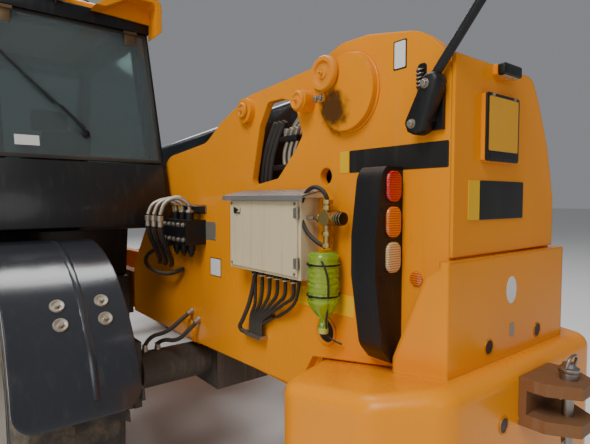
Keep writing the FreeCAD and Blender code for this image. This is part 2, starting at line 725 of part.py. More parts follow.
def chassis_frame():
    """Two box rails with cross members, a belly plate and the stabiliser beam at the front."""
    pieces = []
    inner = s.rail_out - s.rail_wide
    start = forward(s.bumper_front)
    end = forward(s.rail_front)
    for side, sign in SIDES:
        pieces.append(box(f"rail_{side}", (start, end), (inner * sign, s.rail_out * sign),
                          (s.rail_low, rail_top)))
    across = (-inner, inner)
    for index, (back, low, high) in enumerate((
        (s.bumper_front, s.rail_low, rail_top),
        (s.cross_mid_back, s.rail_low, s.rail_low + 150),
        (s.cross_front_back, s.rail_low, rail_top),
        (s.rail_front - 90, s.rail_low, rail_top),
    )):
        x = (forward(back), forward(back) + 90)
        pieces.append(box(f"cross_{index}", x, across, (low, high)))
    pieces.append(box("belly", (start, end), across, (s.rail_low, s.rail_low + 10)))
    for label, x in (("rear", rear_axle_x), ("front", front_axle_x)):
        pieces.append(box(f"axle_pad_{label}", (x - 130, x + 130), (-s.rail_out, s.rail_out),
                          (axle_z + s.diff_high, s.rail_low)))
    for side, sign in SIDES:
        for label, x in (("front", (end - 20, end)), ("rear", (end - 130, end - 110))):
            wing = [
                (s.rail_out * sign, s.rail_low),
                ((s.rail_out + 20) * sign, s.leg_z - 60),
                (s.beam_half * sign, s.leg_z - 60),
                (s.beam_half * sign, s.leg_z + 60),
                (s.rail_out * sign, rail_top),
            ]
            hole = [(s.leg_in * sign, s.leg_z, s.leg_pin_r)]
            pieces.append(prism(f"wing_{label}_{side}", "x", wing, x, hole))
        pieces.append(cylinder(f"leg_pin_{side}", "x", (s.leg_in * sign, s.leg_z), s.leg_pin_r,
                               (end - 140, end + 10)))
    pieces += lift_cylinder()
    node("chassis_frame", fuse("chassis_whole", pieces))


def axle(label, x):
    """A beam whose ends fork round the kingpins."""
    reach = s.knuckle_high / 2 + s.gap
    top = reach + s.fork_wall
    pieces = [cylinder(f"axle_tube_{label}", "y", (x, axle_z), s.axle_tube_r, (-s.axle_half, s.axle_half))]
    pieces.append(box(f"axle_diff_{label}", (x - 150, x + 150), (-170, 170),
                      (axle_z - 150, axle_z + s.diff_high)))
    bores = []
    for side, sign in SIDES:
        pieces.append(box(f"fork_back_{label}_{side}", (x - 60, x + 60),
                          (s.axle_half * sign, (s.axle_half + 40) * sign), (axle_z - top, axle_z + top)))
        for arm, up in (("upper", 1), ("lower", -1)):
            z = (axle_z + reach * up, axle_z + top * up)
            y = (s.axle_half * sign, s.kingpin_y * sign)
            pieces.append(box(f"fork_{arm}_{label}_{side}", (x - s.fork_round, x + s.fork_round), y, z))
            centre = (x, s.kingpin_y * sign)
            pieces.append(cylinder(f"fork_end_{arm}_{label}_{side}", "z", centre, s.fork_round, z))
        bores.append(cylinder(f"fork_bore_{label}_{side}", "z", (x, s.kingpin_y * sign),
                              s.kingpin_r + s.seat, (axle_z - top, axle_z + top)))
    node(f"{label}_axle", cut(f"{label}_axle_cut", fuse(f"{label}_axle_whole", pieces), bores))


def knuckle(name, x, sign):
    """Kingpin, hub carrier and the strap that carries the mudguard."""
    reach = s.knuckle_high / 2
    top = reach + s.gap + s.fork_wall
    pin_y = s.kingpin_y * sign
    strap_in = (s.kingpin_y + s.strap_out) * sign
    strap = (strap_in, strap_in + s.strap_wall * sign)
    under_guard = s.guard_r + s.guard_wall / 2
    arm_low = s.strap_rise
    arm_high = s.strap_rise + s.strap_arm
    bracket = [
        (x - root(under_guard * under_guard - arm_low * arm_low), axle_z + arm_low),
        (x + 20, axle_z + 40),
        (x + 35, axle_z + 60),
        (x + 35, axle_z + under_guard),
        (x - 35, axle_z + under_guard),
        (x - 35, axle_z + arm_high),
        (x - root(under_guard * under_guard - arm_high * arm_high), axle_z + arm_high),
    ]
    pieces = [
        cylinder(f"kingpin_{name}", "z", (x, pin_y), s.kingpin_r, (axle_z - top, axle_z + top)),
        cylinder(f"pivot_block_{name}", "z", (x, pin_y), s.fork_round + 12, (axle_z - reach, axle_z + reach)),
        cylinder(f"carrier_{name}", "y", (x, axle_z), s.knuckle_r,
                 (pin_y - 25 * sign, s.track_half * sign)),
        prism(f"strap_{name}", "y", bracket, strap),
    ]
    return node(f"knuckle_{name}", fuse(f"knuckle_whole_{name}", pieces, False))


def mudguard(name, x, sign):
    """A curved guard over the rear and top of the tyre, with a lip down its inner side."""
    whole_sweep = s.guard_front_deg + s.guard_rear_deg
    trim = s.guard_round / s.guard_r * 60
    inner_y = (s.kingpin_y + s.strap_out + s.strap_wall) * sign

    def at_end(edge):
        return abs(edge.Length - s.guard_wall.number) < 0.01

    shells = []
    for label, radii, y, start in (
        ("skin", (s.guard_r, s.guard_r + s.guard_wall), (inner_y, inner_y + s.guard_wide * sign), 0),
        ("lip", (s.guard_r - s.lip_deep, s.guard_r + 1), (inner_y, inner_y + s.guard_wall * sign), trim),
    ):
        sweep = whole_sweep - as_size(start) * 2
        low, high = ordered(y)
        walls = []
        for part, radius in (("outer", radii[1]), ("inner", radii[0])):
            wall = doc.addObject("Part::Cylinder", f"guard_{label}_{part}_{name}")
            bind(wall, Radius=radius, Height=high - low, Angle=sweep)
            walls.append(wall)
        shell = cut(f"guard_{label}_{name}", walls[0], walls[1])
        turn = f"rotation(vector(0; 1; 0); {(-90 - s.guard_rear_deg + start).text})"
        lay = "rotation(vector(1; 0; 0); -90)"
        spot = f"vector({x.text}; {low.text}; {as_size(axle_z).text})"
        shell.setExpression("Placement", f"placement({spot}; {turn} * {lay})")
        if label == "skin":
            shell = soften(f"guard_round_{name}", shell, s.guard_round, at_end)
        shells.append(shell)
    return node(f"mudguard_{name}", fuse(f"guard_whole_{name}", shells))


def rim_master():
    """A dished disc in a flanged barrel, with the planetary hub in its middle."""
    half = s.rim_wide / 2
    face = s.disc_inset
    outline = [
        (0, s.seat),
        (s.hub_r - 20, s.seat),
        (s.hub_r - 20, face),
        (s.rim_r - 20, face),
        (s.rim_r - 20, -half),
        (s.rim_r + 20, -half),
        (s.rim_r + 20, 15 - half),
        (s.rim_r, 27 - half),
        (s.rim_r, half - 27),
        (s.rim_r + 20, half - 15),
        (s.rim_r + 20, half),
        (s.rim_r - 15, half),
        (s.rim_r - 20, face + s.disc_wall),
        (s.hub_r, face + s.disc_wall),
        (s.hub_r, s.hub_out - 20),
        (s.hub_r - 25, s.hub_out),
        (0, s.hub_out),
    ]
    return turned("rim_master", outline)


def tyre_master():
    """The carcass with a ring of slanted lugs on each shoulder."""
    half = s.tyre_wide / 2
    bead = s.rim_wide / 2
    tread = s.tyre_r - s.lug_high
    side = [
        (s.rim_r, bead - 27),
        (s.rim_r + 20, bead - 15),
        (s.rim_r + 110, half),
        (s.tyre_r - 130, half),
        (s.tyre_r - 70, half - 12),
        (tread, half - 45),
    ]
    outline = side + [(radius, -across) for radius, across in reversed(side)]
    body = turned("tyre_master", outline)
    lug_foot = s.tyre_r - s.lug_high - 14
    made = []
    for label, sign in (("outer", 1), ("inner", -1)):
        slant = s.lug_reach * sign
        lug = [
            (-slant, 12 * sign),
            (s.lug_thick * sign - slant, 12 * sign),
            (slant, (half - 14) * sign),
            (slant - s.lug_thick * sign, (half - 14) * sign),
        ]
        sketch = sketch_on(body, f"lug_{label}", "XY_Plane", [lug], ())
        sketch.setExpression("AttachmentOffset.Base.z", lug_foot.text)
        pad = body.newObject("PartDesign::Pad", f"lug_pad_{label}")
        pad.Profile = sketch
        pad.setExpression("Length", (lug_top - lug_foot).text)
        made.append(pad)
    doc.recompute()
    pattern = body.newObject("PartDesign::PolarPattern", "lug_ring")
    pattern.Originals = made
    axis = [item for item in body.Origin.OriginFeatures if item.Role == "Y_Axis"][0]
    pattern.Axis = (axis, [""])
    pattern.Angle = 360
    pattern.setExpression("Occurrences", s.lug_count.text)
    body.Tip = pattern
    return body


def wheels():
    """Four steered corners from the same rim and tyre."""
    rim = rim_master()
    tyre = tyre_master()
    for end, x in (("rear", rear_axle_x), ("front", front_axle_x)):
        axle(end, x)
        for side, sign in SIDES:
            name = f"{end}_{side}"
            knuckle(name, x, sign)
            mudguard(name, x, sign)
            for label, master in (("rim", rim), ("tyre", tyre)):
                copy = doc.addObject("Part::Compound", f"{label}_copy_{name}")
                copy.Links = [master]
                turn = 0 if sign > 0 else 180
                place(copy, x, s.track_half * sign, axle_z, (0, 0, 1), turn)
                node(f"{label}_{name}", copy)


window_low = s.cab_sill + s.window_sill
window_high = s.cab_top - s.window_head


def cab_outline(inset):
    """Side view of the cab, drawn in by an even wall."""
    return [
        (forward(s.cab_step_back) + inset, s.cab_floor + inset),
        (forward(s.cab_front) - inset * 1.2, s.cab_floor + inset),
        (forward(s.cab_front) + 80 - inset * 1.05, s.cab_floor + 500),
        (forward(s.cab_front_top) - inset * 1.3, s.cab_top - inset),
        (forward(s.cab_back_top) + inset * 1.3, s.cab_top - inset),
        (forward(s.cab_back) + inset * 1.4, s.cab_sill + inset),
        (forward(s.cab_step_back) - 60 + inset * 0.8, s.cab_sill + inset),
    ]


def rear_slope(z):
    """X of the cab's rear face at a height."""
    share = (z - s.cab_sill) / (s.cab_top - s.cab_sill)
    return forward(s.cab_back) + (s.cab_back_top - s.cab_back) * share


def front_slope(z):
    """X of the windscreen's face at a height."""
    share = (z - s.cab_floor - 500) / (s.cab_top - s.cab_floor - 500)
    return forward(s.cab_front) + 80 + (s.cab_front_top - s.cab_front - 80) * share


def door_outline(inset):
    """Side view of the door opening."""
    low = s.cab_floor + s.cab_wall + inset
    high = window_high - inset
    belt = s.cab_floor + 500
    return [
        (forward(s.cab_step_back) + s.cab_wall + inset, low),
        (forward(s.cab_front) - 90 - inset, low),
        (forward(s.cab_front) - 20 - inset, belt),
        (front_slope(high) - 85 - inset, high),
        (forward(s.cab_step_back) + s.cab_wall - 80 + inset, high),
        (forward(s.cab_step_back) + s.cab_wall - 80 + inset, belt),
    ]


def pane(name, face, depth):
    """A sloped pane between the window edges, set in from the face by a depth."""
    outline = []
    for z, extra in ((window_low, 0), (window_high, 0), (window_high, 1), (window_low, 1)):
        outline.append((face(z) + depth + s.glass_wall * extra, z))
    side = s.cab_wall + 20
    return prism(name, "y", outline, (s.cab_in + side, s.cab_out - side))


def cab():
    """Hollow cab with its windows cut, glass, door, roof and what is inside."""
    shell = prism("cab_shell", "y", cab_outline(as_size(0)), (s.cab_in, s.cab_out))
    rounded(shell, "cab_round", s.cab_round, runs("y", below(s.cab_top - 5)))
    room = prism("cab_room", "y", cab_outline(s.cab_wall),
                 (s.cab_in + s.cab_wall, s.cab_out - s.cab_wall))
    side = s.cab_wall + 20
    across = (s.cab_in + side, s.cab_out - side)
    height = (window_low, window_high)
    rear = box("rear_opening", (forward(s.cab_back) - 50, rear_slope(window_high) + 150), across, height)
    front = box("front_opening", (front_slope(window_high) - 120, forward(s.cab_front) + 150),
                across, height)
    doorway = prism("doorway", "y", door_outline(as_size(0)),
                    (s.cab_out - s.cab_wall - 5, s.cab_out + 5))
    post = forward(s.cab_step_back) + s.cab_wall - 80 - 70
    quarter = [
        (rear_slope(window_low) + 100, window_low),
        (post, window_low),
        (post, window_high),
        (rear_slope(window_high) + 100, window_high),
    ]
    outer_wall = (s.cab_out - s.cab_wall - 5, s.cab_out + 5)
    quarter_cut = prism("quarter_opening", "y", quarter, outer_wall)
    right = [
        (rear_slope(window_low) + 110, window_low),
        (forward(s.cab_front) - 60, window_low),
        (front_slope(window_high) - 110, window_high),
        (rear_slope(window_high) + 110, window_high),
    ]
    right_cut = prism("right_opening", "y", right, (s.cab_in - 5, s.cab_in + s.cab_wall + 5))
    top = (forward(s.cab_back_top) + 160, forward(s.cab_front_top) - 160)
    top_cut = box("top_opening", top, (s.cab_in + 140, s.cab_out - 140),
                  (s.cab_top - s.cab_wall - 5, s.cab_top + 5))
    openings = [room, rear, front, doorway, quarter_cut, right_cut, top_cut]
    frame = shell
    for index, opening in enumerate(openings):
        frame = cut(f"cab_frame_{index}", frame, opening)
    hinge_x = forward(s.cab_step_back) + s.cab_wall - 80 + 3
    hinge_y = s.cab_out + 15
    posts = []
    leaves = []
    eyes = []
    for label, z in (("low", window_low + 130), ("high", window_high - 180)):
        posts.append(cylinder(f"hinge_pin_{label}", "z", (hinge_x, hinge_y), 8, (z - 45, z + 45)))
        for end, span in (("foot", (z - 45, z - 20.5)), ("head", (z + 20.5, z + 45))):
            posts.append(cylinder(f"hinge_{end}_{label}", "z", (hinge_x, hinge_y), 14, span))
            posts.append(box(f"hinge_plate_{end}_{label}", (hinge_x - 60, hinge_x),
                             (s.cab_out, s.cab_out + 8), span))
        leaves.append(cylinder(f"hinge_eye_{label}", "z", (hinge_x, hinge_y), 14, (z - 20, z + 20)))
        leaves.append(box(f"hinge_leaf_{label}", (hinge_x, hinge_x + 60), (s.cab_out, s.cab_out + 8),
                          (z - 20, z + 20)))
        eyes.append(cylinder(f"hinge_bore_{label}", "z", (hinge_x, hinge_y), 8 + s.seat, (z - 25, z + 25)))
    node("cab_frame", fuse("cab_frame_whole", [frame] + posts))

    inset = 25
    panes = [pane("rear_glass", rear_slope, inset), pane("front_glass", front_slope, -inset)]
    panes.append(prism("quarter_glass", "y", quarter, (s.cab_out - inset - s.glass_wall, s.cab_out - inset)))
    panes.append(prism("right_glass", "y", right, (s.cab_in + inset, s.cab_in + inset + s.glass_wall)))
    group("cab_glass", panes)

    leaf = prism("door_leaf", "y", door_outline(s.door_gap), (s.cab_out - s.cab_wall, s.cab_out))
    belt = s.cab_floor + 540
    frame_wide = s.door_gap + 65
    opening = [
        (forward(s.cab_step_back) + s.cab_wall - 80 + frame_wide, belt),
        (front_slope(belt) - 85 - frame_wide * 1.1, belt),
        (front_slope(window_high - frame_wide) - 85 - frame_wide, window_high - frame_wide),
        (forward(s.cab_step_back) + s.cab_wall - 80 + frame_wide, window_high - frame_wide),
    ]
    hole = prism("door_window", "y", opening, (s.cab_out - s.cab_wall - 5, s.cab_out + 5))
    door = fuse("door_whole", [cut("door_cut", leaf, hole)] + leaves)
    node("cab_door", cut("door_bored", door, eyes))
    node("door_glass", prism("door_pane", "y", opening, (s.cab_out - 30 - s.glass_wall, s.cab_out - 30)))

    roof_low = s.cab_top
    roof_high = s.cab_top + s.roof_wall
    back = forward(s.cab_back_top)
    fore = forward(s.cab_front_top)
    roof = [
        (back - 40, roof_low),
        (fore + 60, roof_low),
        (fore + 40, roof_high - 30),
        (fore - 60, roof_high),
        (back + 60, roof_high),
        (back - 40, roof_high - 40),
    ]
    roof_y = (s.cab_in, s.cab_out)
    slab = prism("roof_slab", "y", roof, roof_y)
    slab = rounded(slab, "roof_round", s.roof_round, runs("y", above(roof_low)))
    node("cab_roof", slab)
    visor = [
        (s.cab_in - s.visor_wall, roof_low - 60),
        (s.cab_in, roof_low - 90),
        (s.cab_in, roof_low + s.visor_rise - s.visor_wall),
        (s.cab_in + s.visor_wide - s.visor_wall, roof_low + s.visor_rise - s.visor_wall),
        (s.cab_in + s.visor_wide * 1.6, roof_low + 12),
        (s.cab_in + s.visor_wide * 1.9, roof_low + 12),
        (s.cab_in + s.visor_wide, roof_low + s.visor_rise),
        (s.cab_in, roof_low + s.visor_rise),
        (s.cab_in - s.visor_wall, roof_low + s.visor_rise - s.visor_wall),
    ]
    visor_x = (back - 40 - s.visor_deep, back - 40)
    arch = prism("visor_arch", "x", visor, visor_x)
    rounded(arch, "visor_round", s.visor_wall * 0.8, runs("x", above(roof_low + s.visor_rise * 0.6)))
    niche = [
        (s.cab_in, roof_low),
        (s.cab_in + s.visor_wide * 1.6, roof_low + 12),
        (s.cab_in + s.visor_wide - s.visor_wall, roof_low + s.visor_rise - s.visor_wall),
        (s.cab_in, roof_low + s.visor_rise - s.visor_wall),
    ]
    closing = prism("visor_closing", "x", niche, (back - 60, back - 40))
    node("roof_visor", fuse("visor_whole", [arch, closing]))

    middle = (s.cab_in + s.cab_out) / 2
    floor = s.cab_floor + s.cab_wall
    seat_back = forward(s.cab_step_back) + 130
    room_high = s.cab_top - s.cab_floor - s.cab_wall * 2
    cushion_low = floor + room_high * 0.23
    cushion_top = floor + room_high * 0.31
    seat = [
        box("seat_base", (seat_back, seat_back + 400), (middle - 180, middle + 180), (floor, cushion_low)),
        box("seat_cushion", (seat_back - 20, seat_back + 480), (middle - 240, middle + 240),
            (cushion_low, cushion_top)),
        box("seat_back", (seat_back - 60, seat_back + 60), (middle - 230, middle + 230),
            (cushion_top - 20, floor + room_high * 0.73)),
    ]
    node("seat", fuse("seat_whole", seat))
    dash_x = forward(s.cab_front) - 260
    dash = box("dash", (dash_x, forward(s.cab_front) - s.cab_wall * 1.2), (s.cab_in + 160, s.cab_out - 160),
               (floor, floor + room_high * 0.39))
    hub = floor + room_high * 0.35
    column = cylinder("column", "x", (middle, hub), 28, (dash_x - 90, dash_x + 20))
    wheel = doc.addObject("Part::Torus", "steering_wheel")
    wheel.Radius1 = 175
    wheel.Radius2 = 15
    place(wheel, dash_x - 80, middle, hub, (0, 1, 0), 90)
    spoke = box("spoke", (dash_x - 90, dash_x - 74), (middle - 175, middle + 175), (hub - 20, hub + 20))
    node("console", fuse("console_whole", [dash, column, wheel, spoke]))


def side_tanks():
    """Hydraulic tank with the step under the cab, and the engine pod on the other side."""
    start = forward(s.cab_step_back)
    end = forward(s.cab_front)
    inner = plate_out + s.gap
    section = [
        (inner, s.tank_low),
        (s.tank_out, s.tank_low),
        (s.tank_out, s.cab_floor),
        (inner, s.cab_floor),
    ]
    tank = prism("tank_block", "x", section, (start, end))
    rounded(tank, "tank_round", s.tank_round, runs("x", below(s.tank_low + 5)))
    tank_long = end - start
    foot = box("step_cut", (start + tank_long * 0.34, end - tank_long * 0.24),
               (s.tank_out - 170, s.tank_out + 5), (s.tank_low + 130, s.tank_low + 330))
    hangers = []
    for label, share in (("rear", 0.15), ("front", 0.8)):
        x = start + tank_long * share
        hangers.append(box(f"tank_hanger_{label}", (x - 40, x + 40), (inner - 70, inner + 2),
                           (s.rail_low - 60, s.rail_low - s.seat)))
    node("hydraulic_tank", fuse("tank_whole", [cut("tank_cut", tank, foot)] + hangers))

    x = (forward(s.pod_back), forward(s.pod_back + s.pod_long))
    wall = s.pod_wall
    inner_x = (x[0] + wall, x[1] - wall)
    rim = s.pod_top - wall - s.seat
    outline = [
        (-s.pod_in, s.pod_low + 60),
        (-s.pod_in, rim),
        (-s.pod_in - wall, rim),
        (-s.pod_in - wall, s.pod_split),
        (-s.pod_out, s.pod_split),
        (-s.pod_out, s.pod_low + 140),
        (-s.pod_out + 80, s.pod_low),
        (-s.pod_in - 60, s.pod_low),
    ]
    hollow = [
        (-s.pod_in - wall, s.pod_low + wall + 60),
        (-s.pod_in - wall, s.pod_split + 5),
        (-s.pod_out + wall, s.pod_split + 5),
        (-s.pod_out + wall, s.pod_low + 150),
        (-s.pod_out + 90, s.pod_low + wall),
        (-s.pod_in - 70, s.pod_low + wall),
    ]

    def outer_low(middle):
        return middle.y < -s.pod_in.number - 200 and middle.z < s.pod_split.number - 100

    shell = rounded(prism("pod_shell", "x", outline, x), "pod_round", s.pod_round, runs("x", outer_low))
    room = prism("pod_room", "x", hollow, inner_x)
    slots = []
    pitch = (s.pod_long - s.grille_edge * 2) / s.grille_count
    for index in range(int(s.grille_count.number)):
        at = x[0] + s.grille_edge + pitch * index
        slots.append(box(f"grille_slot_{index}", (at, at + pitch * 0.6),
                         (-s.pod_out - 5, -s.pod_out + wall + 5),
                         (s.pod_low + s.grille_edge, s.pod_split - s.grille_edge / 2)))
    mounts = box("pod_mounts", (x[0] + 100, x[1] - 100), (-s.rail_out, -s.pod_in), (rail_top - 120, rail_top))
    hinge = (s.gap * 1.4 - s.pod_in, s.pod_top)
    fixed = []
    leaves = []
    bores = []
    for label, share in (("rear", 0.2), ("front", 0.8)):
        at = x[0] + s.pod_long * share
        fixed.append(cylinder(f"cover_pin_{label}", "x", hinge, 5, (at - 60, at + 60)))
        for end_name, span in (("back", (at - 60, at - 25.3)), ("fore", (at + 25.3, at + 60))):
            fixed.append(cylinder(f"cover_knuckle_{end_name}_{label}", "x", hinge, 12, span))
            fixed.append(box(f"cover_bracket_{end_name}_{label}", span, (2 - s.pod_in, hinge[0]),
                             (rim - 20, s.pod_top)))
            fixed.append(box(f"cover_foot_{end_name}_{label}", span, (-s.pod_in - 2, hinge[0]),
                             (rim - 80, rim - 2)))
        span = (at - 25, at + 25)
        leaves.append(cylinder(f"cover_eye_{label}", "x", hinge, 12, span))
        leaves.append(box(f"cover_leaf_{label}", span, (-s.pod_in - 2, hinge[0]),
                          (s.pod_top - 12, s.pod_top - 2)))
        bores.append(cylinder(f"cover_bore_{label}", "x", hinge, 5 + s.seat, (at - 30, at + 30)))
    node("engine_pod", fuse("pod_whole", [cut("pod_hollow", shell, [room] + slots), mounts] + fixed))
    node("engine_block", box("engine_mass", (x[0] + 130, x[1] - 130), (-s.pod_in - 130, -s.pod_out + 150),
                             (s.pod_low + wall, s.pod_split - 80)))
    cover_high = s.pod_top - s.pod_split
    shoulder = s.pod_split + cover_high * 0.6
    edge = -s.pod_in - wall - s.seat
    cover = [
        (edge, s.pod_split + s.seat),
        (edge, s.pod_top - wall),
        (-s.pod_in, s.pod_top - wall),
        (-s.pod_in, s.pod_top),
        (-s.pod_out + 110, s.pod_top - 20),
        (-s.pod_out, shoulder),
        (-s.pod_out, s.pod_split + s.seat),
    ]
    under = [
        (edge + 10, s.pod_split),
        (edge + 10, s.pod_top - wall),
        (-s.pod_out + 120, s.pod_top - 20 - wall),
        (-s.pod_out + wall, shoulder - 10),
        (-s.pod_out + wall, s.pod_split),
    ]

    def outer_high(middle):
        return middle.y < -s.pod_out.number + 200 and middle.z > shoulder.number - 5

    shell = rounded(prism("cover_shell", "x", cover, x), "cover_round", s.pod_round, runs("x", outer_high))
    lid = cut("cover_hollow", shell, prism("cover_room", "x", under, inner_x))
    node("engine_cover", cut("cover_bored", fuse("cover_whole", [lid] + leaves), bores))


def hose(name, points, radius):
    """A round tube whose straight runs are joined by tangent arcs; points are (x, y, z) sizes."""
    radius = as_size(radius).number
    corners = [FreeCAD.Vector(*(as_size(value).number for value in point)) for point in points]
    runs = [(b - a).Length for a, b in zip(corners, corners[1:])]
    edges = []
    start = corners[0]
    radii = []
    for index in range(1, len(corners) - 1):
        corner = corners[index]
        back = (corners[index - 1] - corner).normalize()
        ahead = (corners[index + 1] - corner).normalize()
        reach = 0.45 * min(runs[index - 1], runs[index])
        turn = math.pi - back.getAngle(ahead)
        bend = reach / math.tan(turn / 2)
        radii.append(round(bend / (2 * radius), 1))
        first = corner + back * reach
        last = corner + ahead * reach
        halfway = (back + ahead).normalize()
        middle = corner + halfway * (bend / math.cos(turn / 2) - bend)
        edges.append(Part.LineSegment(start, first).toShape())
        edges.append(Part.Arc(first, middle, last).toShape())
        start = last
    edges.append(Part.LineSegment(start, corners[-1]).toShape())
    path = Part.Wire(edges)
    ring = Part.Wire(Part.Circle(corners[0], corners[1] - corners[0], radius).toShape())
    obj = doc.addObject("Part::Feature", name)
    obj.Shape = path.makePipeShell([ring], True, False)
    wanted = math.pi * radius * radius * path.Length
    if abs(obj.Shape.Volume - wanted) > 0.01 * wanted:
        raise RuntimeError(f"{name} is not a plain tube")
    print(name, "length", round(path.Length), "bend radii in diameters", radii)
    return obj


def rear_lamps():
    """A tall bowed housing on each plate with three oblong lenses on its rear face."""
    housings = []
    lenses = []
    x = (forward(s.lamp_back), forward(s.lamp_back + s.lamp_deep))
    top = s.lamp_low + s.lamp_high
    bow = s.lamp_wide
    pitch = s.lens_high + s.lens_gap
    for side, sign in SIDES:
        outline = [
            (plate_out * sign, s.lamp_low),
            ((plate_out + bow * 0.35) * sign, s.lamp_low),
            ((plate_out + bow * 0.7) * sign, s.lamp_low + s.lamp_high * 0.08),
            ((plate_out + bow) * sign, s.lamp_low + s.lamp_high * 0.45),
            ((plate_out + bow) * sign, s.lamp_low + s.lamp_high * 0.65),
            ((plate_out + bow * 0.8) * sign, top - 20),
            ((plate_out + bow * 0.6) * sign, top),
            (plate_out * sign, top),
        ]

        def bowed(middle):
            return abs(middle.y) > (plate_out + bow * 0.65).number

        shell = prism(f"lamp_shell_{side}", "x", outline, x)
        rounded(shell, f"lamp_bow_{side}", s.lamp_round, runs("x", bowed))
        seats = []
        for index in range(3):
            middle = top - s.lens_gap - s.lens_high / 2 - pitch * index
            y = ((plate_out + s.lens_inset) * sign, (plate_out + s.lens_inset + s.lens_wide) * sign)
            z = (middle - s.lens_high / 2, middle + s.lens_high / 2)
            corners = [(y[0], z[0]), (y[1], z[0]), (y[1], z[1]), (y[0], z[1])]
            for kind, made, back in (("seat", seats, -20), ("lens", lenses, -s.lens_proud)):
                depth = (x[0] + back, x[0] + 12)
                block = prism(f"{kind}_{side}_{index}", "x", corners, depth)
                block = rounded(block, f"{kind}_round_{side}_{index}", s.lens_wide * 0.4, runs("x", bool))
                made.append(block)
        housings.append(cut(f"lamp_housing_{side}", shell, seats))
    group("lamp_housings", housings)
    group("lamp_lenses", lenses)


def electrical_box():
    """Box on the left plate with a lipped lid and cable glands under it."""
    x = (forward(s.box_back), forward(s.box_back + s.box_long))
    face = plate_out + s.box_deep
    top = s.box_low + s.box_high
    pieces = [
        box("box_case", x, (plate_out, face), (s.box_low, top)),
        box("box_door", (x[0] + 12, x[1] - 12), (face, face + 8), (s.box_low + 12, top - 12)),
        box("box_latch", (x[1] - 95, x[1] - 60), (face + 8, face + 16), (top - 60, top - 35)),
    ]
    for index in range(6):
        along = x[0] + 90 + index * 52
        pieces.append(cylinder(f"gland_{index}", "z", (along, plate_out + 42), s.cable_r + 7,
                               (s.box_low - 24, s.box_low)))
    lid = [
        (plate_out, top),
        (face + 14, top),
        (face + 14, top + 4),
        (plate_out, top + 26),
    ]
    pieces.append(prism("lid_plate", "x", lid, (x[0] - 30, x[1] + 14)))
    node("electrical_box", fuse("box_whole", pieces))


def box_cables():
    """Cables from the glands, down and forward to a clip on the plate."""
    cables = []
    foot = s.box_low - 24
    for index in range(6):
        x = forward(s.box_back) + 90 + index * 52
        y = plate_out + 42
        goal = forward(s.box_back + s.box_long) - 110
        cables.append(hose(f"cable_{index}", [
            (x, y, foot),
            (x, y, foot - 55 - index * 3),
            (x + (goal - x) * 0.35, y - 4, foot - 110 - index * 3),
            (goal - 40 + index * 16, y - 14, foot - 190),
            (goal - 40 + index * 16, y - 14, foot - 260),
        ], s.cable_r))
    group("box_cables", cables)
    clip_x = forward(s.box_back + s.box_long) - 110
    return box("cable_clip", (clip_x - 50, clip_x + 70), (plate_out, plate_out + 40),
               (foot - 275, foot - 260))


def slot_pipes():
    """Bent steel pipes and hoses that come up behind the slot, held by a clamp block."""
    y = plate_in - 45
    x = forward(s.slot_back)
    pipes = []
    for index in range(3):
        step = index * 34
        pipes.append(hose(f"slot_pipe_{index}", [
            (x + 115 + step, y, s.slot_low - 100),
            (x + 115 + step, y, s.slot_low + 20),
            (x + 150 + step, y, s.slot_low + 120),
            (x + 105 + step, y, s.slot_low + 215),
            (x + 20 + step, y, s.slot_low + 285),
        ], s.pipe_r))
    clamp = box("pipe_clamp", (x + 90, x + 215), (y, plate_in), (s.slot_low - 130, s.slot_low - 100))
    return pipes, clamp


def valves():
    """Valve block with its unions, the battery isolator and the washer bottle."""
    x = forward(s.valve_back)
    pieces = [box("valve_body", (x, x + 290), (plate_out, plate_out + 110), (s.valve_low, s.valve_low + 125))]
    elbows = []
    top = s.valve_low + 160
    y = plate_out + 60
    for index in range(3):
        along = x + 60 + index * 80
        pieces.append(cylinder(f"union_{index}", "z", (along, y), 20, (s.valve_low + 125, top)))
        elbows.append(hose(f"elbow_{index}", [
            (along, y, top),
            (along, y, top + 45),
            (along + 20, y + 55, top + 85 - index * 6),
            (along + 45, y + 115, top + 55 - index * 6),
            (along + 50, y + 135, top - 10),
        ], s.pipe_r))
    node("valve_block", fuse("valve_whole", pieces))

    bottle_x = forward(s.bottle_back)
    low = s.bottle_low
    high = low + s.bottle_high
    flask = [
        (bottle_x, low + 25),
        (bottle_x + 25, low),
        (bottle_x + 90, low),
        (bottle_x + 118, low + 25),
        (bottle_x + 118, high - 25),
        (bottle_x + 90, high),
        (bottle_x + 25, high),
        (bottle_x, high - 25),
    ]
    neck = cylinder("bottle_neck", "z", (bottle_x + 72, plate_out + 48), 18, (low - 40, low + 5))
    belly = prism("bottle_flask", "y", flask, (plate_out, plate_out + 92))
    node("washer_bottle", fuse("bottle_whole", [belly, neck]))

    iso_x = forward(s.isolator_back)
    z = s.isolator_z
    y = plate_out + 45
    parts = [
        cylinder("isolator_foot", "y", (iso_x, z), 26, (plate_out, y + 18)),
        cylinder("isolator_pipe", "z", (iso_x, y), 14, (z - 100, z + 62)),
        cylinder("isolator_bar", "x", (y, z), 9, (iso_x - 62, iso_x + 85)),
        cylinder("isolator_knob", "x", (y, z), 22, (iso_x - 78, iso_x - 50)),
    ]
    node("isolator_valve", fuse("isolator_whole", parts))
    return elbows


